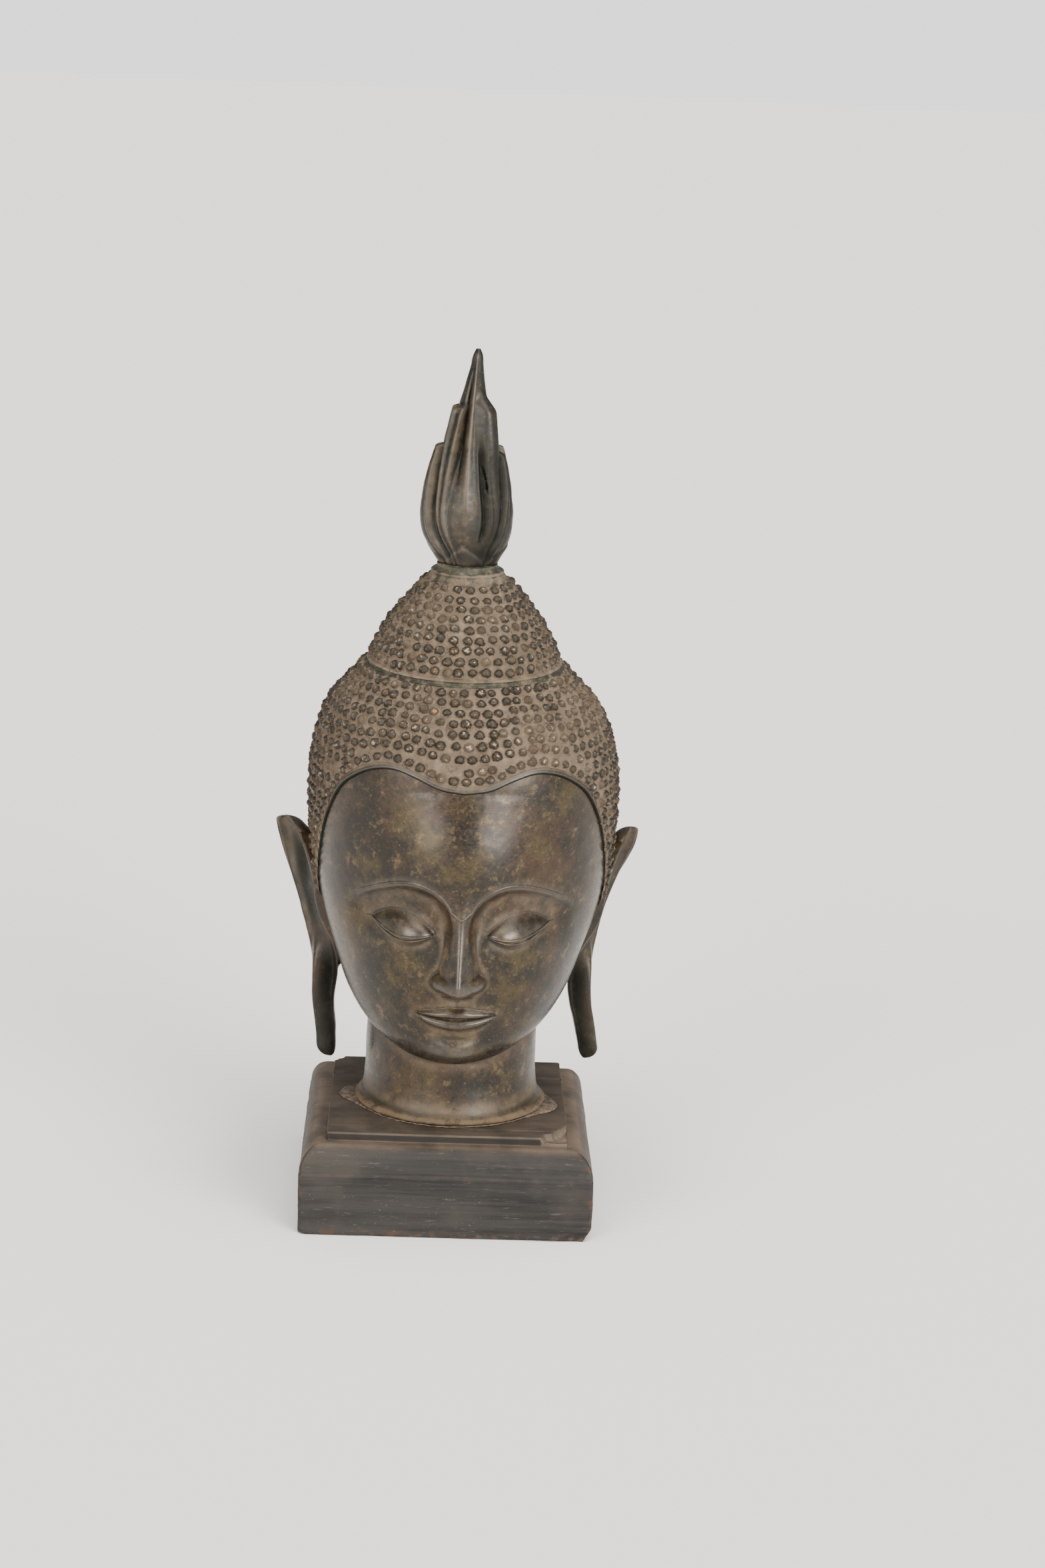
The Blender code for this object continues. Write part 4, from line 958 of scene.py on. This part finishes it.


# Ears. Each is a long hollow leaf that is cast on at its root, flares out at the top and hangs free below the jaw as
# a stretched lobe. The right lobe is bent outwards. Their hollows and the lobes' inner channels have dark greenish
# painted shade, their backs a little, and their tops are dusty.
EAR_TOP = 12.33
EAR_ROWS, EAR_FACE, EAR_BACK = 150, 40, 20
ear_back_y = curve_through(
    [(1.85, 0.75), (3.1, 0.85), (5.0, 0.95), (7.2, 1.2), (9.3, 1.7), (11.0, 1.95), (12.1, 1.7), (12.45, 1.35)]
)
ear_front_y = curve_through(
    [(1.85, -0.35), (4.0, -0.5), (6.1, -0.45), (9.3, -0.55), (11.0, -0.5), (12.1, 0.2), (12.45, 0.8)]
)
ear_hollow = curve_through(
    [(1.85, 0.05), (4.0, 0.2), (7.0, 0.16), (8.4, 0.1), (9.4, 0.12), (10.6, 0.36), (11.6, 0.4), (12.45, 0.1)]
)
right_rim = curve_through(
    [(1.75, 6.08), (2.3, 6.13), (3.0, 5.97), (3.7, 5.88), (4.4, 5.85), (5.8, 5.9), (7.2, 6.05), (8.55, 6.3),
     (9.25, 6.56), (9.9, 6.87), (10.6, 7.27), (11.3, 7.57), (12.0, 7.68), (12.45, 7.62)]
)
right_front = curve_through(
    [(1.85, 5.85), (3.5, 5.53), (4.3, 5.22), (5.5, 5.0), (7.0, 5.32), (8.6, 5.99), (10.2, 6.25), (11.3, 6.57),
     (12.45, 7.1)]
)
left_rim = curve_through(
    [(1.5, 5.42), (1.85, 5.5), (2.33, 5.56), (3.0, 5.68), (3.7, 5.86), (5.0, 6.15), (6.34, 6.38), (7.57, 6.7),
     (8.95, 7.12), (10.0, 7.55), (11.07, 7.9), (12.06, 8.07), (12.45, 8.0)]
)
left_front = curve_through(
    [(1.5, 5.2), (1.85, 5.22), (3.0, 5.24), (4.4, 5.32), (5.5, 5.2), (7.0, 5.35), (8.6, 5.95), (10.2, 6.25),
     (11.3, 6.62), (12.45, 7.2)]
)


def ear_points(front_x, rim_x, ear_end):
    """Closed slices up the ear. Above, a slice's face runs from a rolled front edge over a hollow to a rolled rim.
    On the lobe it is a rounded strip outside and a channel inside. Its full back runs into the head above."""
    share = np.linspace(0, 1, EAR_ROWS)
    z = ear_end + (EAR_TOP - ear_end) * (share - 0.07 * np.sin(2 * math.pi * share))
    end = np.minimum(np.minimum((z - ear_end) / 0.6, (EAR_TOP - z) / 0.35), 1)
    size = np.sqrt(np.maximum(1 - (1 - end) ** 2, 0.004))[:, None]
    lobe = 1 - ease(z, 5.2, 8.2)[:, None]
    front = np.stack([front_x(z), ear_front_y(z) + 0.55 * lobe[:, 0]], -1)[:, None]
    rim = np.stack([rim_x(z), ear_back_y(z)], -1)[:, None]
    along = rim - front
    normal = np.stack([along[..., 1], -along[..., 0]], -1) / np.linalg.norm(along, axis=-1, keepdims=True)
    middle = (front + rim) / 2
    out = np.linspace(0, 1, EAR_FACE)
    rolls = 0.18 * bell(out, 0.06, 0.07) + 0.2 * bell(out, 0.93, 0.07)
    upper = rolls - ear_hollow(z)[:, None] * (4 * out * (1 - out)) ** 0.6 * (0.25 + 0.75 * ease(out, 0.2, 0.6))
    strip = 0.62 * bell(out, 0.66, 0.26) - 0.16 * bell(out, 0.27, 0.15) - 0.06
    lifted = (upper * (1 - lobe) + strip * lobe) * size
    face = middle + ((out - 0.5) * size)[..., None] * along + lifted[..., None] * normal
    rooted = (ease(z, 5.6, 7.2) * ease(EAR_TOP - z, 0.25, 1.3))[:, None]
    back = np.linspace(1, 0, EAR_BACK)[1:-1]
    depth = 0.42 * np.sin(math.pi * (0.12 + 0.76 * back)) + ear_hollow(z)[:, None] * 3.2 * back * (1 - back)
    depth = depth * (1 - 0.35 * lobe) * size
    full = middle + ((back - 0.5) * size)[..., None] * along - depth[..., None] * normal
    full[..., 0] -= rooted * 1.3 * (1 - back) ** 0.7
    plane = np.concatenate([face, full], 1)
    return np.concatenate([plane, np.broadcast_to(z[:, None, None], (*plane.shape[:2], 1))], -1), z, out


for name, front_x, rim_x, ear_end, side in (
    ("right_ear", right_front, right_rim, 1.75, 1),
    ("left_ear", left_front, left_rim, 1.5, -1),
):
    grid, z, place = ear_points(front_x, rim_x, ear_end)
    grid = lean(grid * np.array([side, 1, 1]))
    columns = grid.shape[1]
    # Painted shade: dark in the lobe's inner channel and in the hollow, a little on the back.
    channel = bell(place, 0.3, 0.26) * (1 - ease(z, 5.5, 8.0)[:, None])
    hollow = np.exp(-(((place - 0.48) / 0.41) ** 4)) * (ease(z, 5.6, 8.5) * (1 - ease(z, 10.7, 12.1)))[:, None]
    shade = np.concatenate([np.maximum(channel, 0.9 * hollow), np.full((EAR_ROWS, columns - len(place)), 0.25)], 1)
    if side > 0:
        grid, shade = grid[:, ::-1], shade[:, ::-1]
    grid = roughened(grid, (0.12 * MM, 5 * MM, 41))
    fold = hollows(grid, 2)
    on_top = ease(z, 10.9, 12.2)[:, None] * np.ones(columns)
    dust = soften(np.clip(-fold / (0.4 * MM), 0, 0.22), 3) + 0.16 * on_top + 0.03
    rub = np.clip(-fold / (0.25 * MM) - 0.3, 0, 0.6)
    piece = new_piece(name, *closed_grid(grid), skin_brass, 50, dust=dust, rub=rub, shade=shade)
    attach(piece, "root")


# Flame finial. A separate brass casting seated on the ring: a ridged leaf in front and behind, with two tiers of
# tongues at its sides and a row of petals round its foot. Its ridges are rubbed grey, with a painted highlight down
# the front ridge, and its channels are olive and brown with painted shade.
SEAT_GAP = 0.3 * MM
FLAME_FOOT = SEAT + SEAT_GAP / FINGER
FLAME_TALL = 112.2 * MM / FINGER
FLAME_DEEP, FLAME_DRIFT = 0.9, 0.24
FLAME_ROWS, FLAME_COLUMNS = 250, 380
flame_core = curve_through(
    [(0, 1.06), (0.03, 1.11), (0.07, 1.2), (0.12, 1.37), (0.2, 1.52), (0.28, 1.46), (0.4, 1.2),
     (0.55, 0.9), (0.68, 0.7), (0.76, 0.57), (0.83, 0.43), (0.92, 0.27), (0.98, 0.17), (1.0, 0.08)]
)
flame_side = curve_through(
    [(0, 1.06), (0.03, 1.18), (0.06, 1.35), (0.1, 1.6), (0.14, 1.8), (0.18, 1.91), (0.25, 1.97), (0.34, 1.9),
     (0.45, 1.74), (0.55, 1.5)]
)
flame_corner = curve_through(
    [(0.03, 1.14), (0.08, 1.33), (0.14, 1.6), (0.23, 1.8), (0.32, 1.76), (0.43, 1.6), (0.55, 1.4), (0.66, 1.19),
     (0.74, 1.02), (0.8, 0.86)]
)
flame_ridge = curve_through([(0.1, 0), (0.2, 0.06), (0.3, 0.16), (0.5, 0.26), (0.7, 0.22), (0.85, 0.13), (1.0, 0.02)])
leaf_edge = curve_through([(0, 12), (0.1, 21), (0.23, 31), (0.4, 30), (0.55, 27), (0.72, 22), (0.8, 18)])
corner_edge = curve_through([(0, 24), (0.08, 33), (0.16, 43), (0.23, 48), (0.4, 54), (0.55, 58), (0.74, 61)])


def flame_reach(degrees, share):
    """Radius of the flame in fingers. From each ridge outwards come the leaf, a corner tongue between two rims, a
    deep channel, and the side tongue. On one side of each ridge the tongue is full and has no channel of its own."""
    signed = (degrees + 90) % 180 - 90
    turn = np.abs(signed)
    full = ease(signed, 2, 10) * (np.abs(degrees) < 90)
    leaf_end, corner_end = leaf_edge(share), corner_edge(share)
    ridge = flame_ridge(share) * np.exp(-np.abs((signed + 2) / 15) ** 1.2)
    groove = 0.2 * bell(turn, 24, 8) * (1 - full) * ease(share, 0.35, 0.6) * (1 - ease(share, 0.78, 0.92))
    core = flame_core(share) + ridge - groove
    tip = 0.74 - 0.02 * full
    reached = 1 - ease(share, tip, tip + 0.008 + 0.1 * full)
    inner = ease(turn, leaf_end - 2 - 22 * full, leaf_end + 7 + 12 * full)
    outer = 1 - ease(turn, corner_end - 3, corner_end + 5 + 14 * full)
    across = np.clip((turn - leaf_end - 4) / (corner_end - leaf_end - 4), 0, 1)
    trough = 0.1 * np.sin(math.pi * across) ** 2 * (1 - full)
    past = turn - leaf_end
    valley = full * (0.07 * bell(past, 4, 3) - 0.2 * bell(past, -3, 4))
    valley = valley * ease(share, 0.1, 0.2) * (1 - ease(share, 0.5, 0.64))
    bulge = 0.1 * full * ease(share, 0.45, 0.62) * (1 - ease(share, 0.74, 0.8))
    corner = (flame_corner(share) + bulge - trough - core) * inner * outer * reached
    swell = full * ease(share, 0.04, 0.12) * (1 - ease(share, 0.22, 0.4))
    channel = corner_end + 8 - 8 * swell
    side_tip = 0.565 - 0.045 * full
    flank = ease(turn, channel, channel + 9) * (1 - ease(share, side_tip, side_tip + 0.01 + 0.04 * full))
    hollow = 0.09 * bell(turn - channel, 17, 6) * (1 - 0.9 * swell)
    flank = (flame_side(share) - hollow - core) * flank
    reach = core + soft_max(soft_max(corner, flank, 0.06), 0, 0.03) - 0.0075 + valley
    petal = np.abs((degrees + 53) % 90 - 45) / 45
    top = 0.095 * (1 - petal) ** 0.85 + 0.03
    over = (0.06 + 0.4 * (top - share).clip(0, 0.12)) * (1 - ease(share, top - 0.008, top + 0.003))
    return reach + over * ease(share, 0.02, 0.035)


def flame(degrees, share):
    """A place on the flame in metres: its radius turned by the angle, less deep than wide, and drifting aside."""
    reach = soften(flame_reach(degrees, share), 5)
    x = reach * np.sin(np.radians(degrees)) + FLAME_DRIFT * share**2
    y = -FLAME_DEEP * reach * np.cos(np.radians(degrees))
    return lean(np.stack([x, y, np.broadcast_to(FLAME_FOOT + share * FLAME_TALL, x.shape)], -1))


degrees = np.arange(FLAME_COLUMNS) / FLAME_COLUMNS * 360 - 180
share = np.linspace(0, 1, FLAME_ROWS)[:, None]
grid = flame(np.broadcast_to(degrees, (FLAME_ROWS, FLAME_COLUMNS)), share)
out = normals(grid)
grid = roughened(grid, (0.16 * MM, 6 * MM, 51), (0.05 * MM, 2 * MM, 52))
# A short slit runs down the front, and four small scrapes shine beside it. Both are placed in millimetres.
x, y, height = np.moveaxis(grid / MM, -1, 0)
slit = bell(x, np.interp(height, [380, 387, 394], [8.4, 7.2, 5.0]), 0.45) * (y < 0)
slit = slit * ease(height, 379.5, 384) * (1 - ease(height, 390, 394.5))
grid = grid - out * (2.4 * MM * slit)[..., None]
fold = soften(hollows(grid, 4), 6)
left = 1 - 0.75 * ease(degrees, -4, 24) * (1 - ease(degrees, 80, 100))
dust = np.clip(-fold / (0.5 * MM) + 0.02, 0, 0.36) * left
scrapes = ((2.2, 374, 1.0, 3.4), (10.5, 374, 2.2, 0.7), (10.4, 379, 1.8, 0.5), (14.6, 381, 0.7, 1.6))
for across, up, wide, tall in scrapes:
    dust = dust + 0.9 * bell(x, across, wide) * bell(height, up, tall) * (y < 0)
dust = np.clip(dust * (1 - slit), 0, 0.9)
# A painted highlight down the front ridge, laid on as grey rub.
painted_ridge_highlight = bell(degrees, -2, 7) * ease(share, 0.3, 0.42) * (1 - ease(share, 0.95, 1.0))
rub = np.clip(-fold / (0.5 * MM), 0, 0.25) * left + 0.6 * painted_ridge_highlight
# The shade mask darkens the whole flame a little and, below the middle, its right side as seen from the front more; in
# the channels and the slit it is painted shade.
shade = 0.26 + np.clip(fold / (0.6 * MM) - 0.1, 0, 0.6) + slit + 0.6 * (1 - left) * (1 - ease(share, 0.5, 0.75))
flame_brass = brass_patina("rubbed_patinated_brass", "#131310", "#2e2916", "#30241a", "#5c4e3a", 0.34, "#544a3e")
piece = new_piece("flame", *closed_grid(grid), flame_brass, 50, dust=dust, rub=rub, shade=np.clip(shade, 0, 1))
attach(piece, "root")
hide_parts("flame_finial")


# Studio. A plain flat floor, three large soft lamps in a warm white (front right, front left and overhead), and a
# white room round them, as in a small product studio.
CAMERA_PLACE = (-0.0204, -1.5952, 0.6007)
CAMERA_PITCH, CAMERA_ROLL, CAMERA_YAW = np.radians([13.266, -2.368, 1.927])
FOCAL_PIXELS, IMAGE_HEIGHT = 4700, 2352


def camera_axes():
    """Right, up and backwards of the camera, from its yaw, then its pitch, then its roll."""
    ahead = np.array([math.sin(CAMERA_YAW) * math.cos(CAMERA_PITCH), math.cos(CAMERA_YAW) * math.cos(CAMERA_PITCH),
                      -math.sin(CAMERA_PITCH)])
    level = np.array([math.cos(CAMERA_YAW), -math.sin(CAMERA_YAW), 0])
    over = np.cross(level, ahead)
    right = math.cos(CAMERA_ROLL) * level - math.sin(CAMERA_ROLL) * over
    up = math.sin(CAMERA_ROLL) * level + math.cos(CAMERA_ROLL) * over
    return right, up, -ahead


lens = bpy.data.cameras.new("camera")
lens.sensor_fit = "VERTICAL"
lens.sensor_height = 36
lens.lens = FOCAL_PIXELS / IMAGE_HEIGHT * lens.sensor_height
camera = bpy.data.objects.new("camera", lens)
axes = np.eye(4)
axes[:3, :3] = np.stack(camera_axes(), -1)
axes[:3, 3] = CAMERA_PLACE
camera.matrix_world = axes.T.tolist()
bpy.context.scene.collection.objects.link(camera)
bpy.context.scene.camera = camera

# Matt white paper, a little warm, wide enough to reach the horizon.
FLOOR_REACH = 40.0
floor_material = new_material("matt_white_paper", {"Roughness": 0.9, "Base Color": "#efeeec"})[0]
corners = FLOOR_REACH * np.array([[-1, -1, 0], [1, -1, 0], [1, 1, 0], [-1, 1, 0]])
floor = new_piece("floor", corners, [np.array([[0, 1, 2, 3]])], floor_material)

# Each lamp as its name, turn to the right of the camera, height in degrees, strength, and softness in degrees.
WARM_WHITE = (1, 0.965, 0.92)
lamps = [("right_softbox", 36, 15, 5.4, 34), ("left_softbox", -36, 14, 3.2, 34), ("top_softbox", 15, 74, 4.2, 60)]
for name, turn, height, strength, softness in lamps:
    light = bpy.data.lights.new(name, "SUN")
    light.energy, light.angle, light.color = strength, math.radians(softness), WARM_WHITE
    holder = bpy.data.objects.new(name, light)
    holder.rotation_euler = (math.radians(90 - height), 0, math.radians(turn))
    bpy.context.scene.collection.objects.link(holder)

# The room is white to the eye, as the floor is, and dimmer as a light, so that the metal keeps its dark tones.
room = bpy.data.worlds.new("white_room")
room.use_nodes = True
tree = room.node_tree
seen = add(tree, "LightPath", out="Is Camera Ray")
strength = add(tree, "MapRange", {"Value": seen, "To Min": 0.3, "To Max": 1.75})
plug(tree, tree.nodes["Background"], {"Strength": strength, "Color": "#ffffff"})
bpy.context.scene.world = room
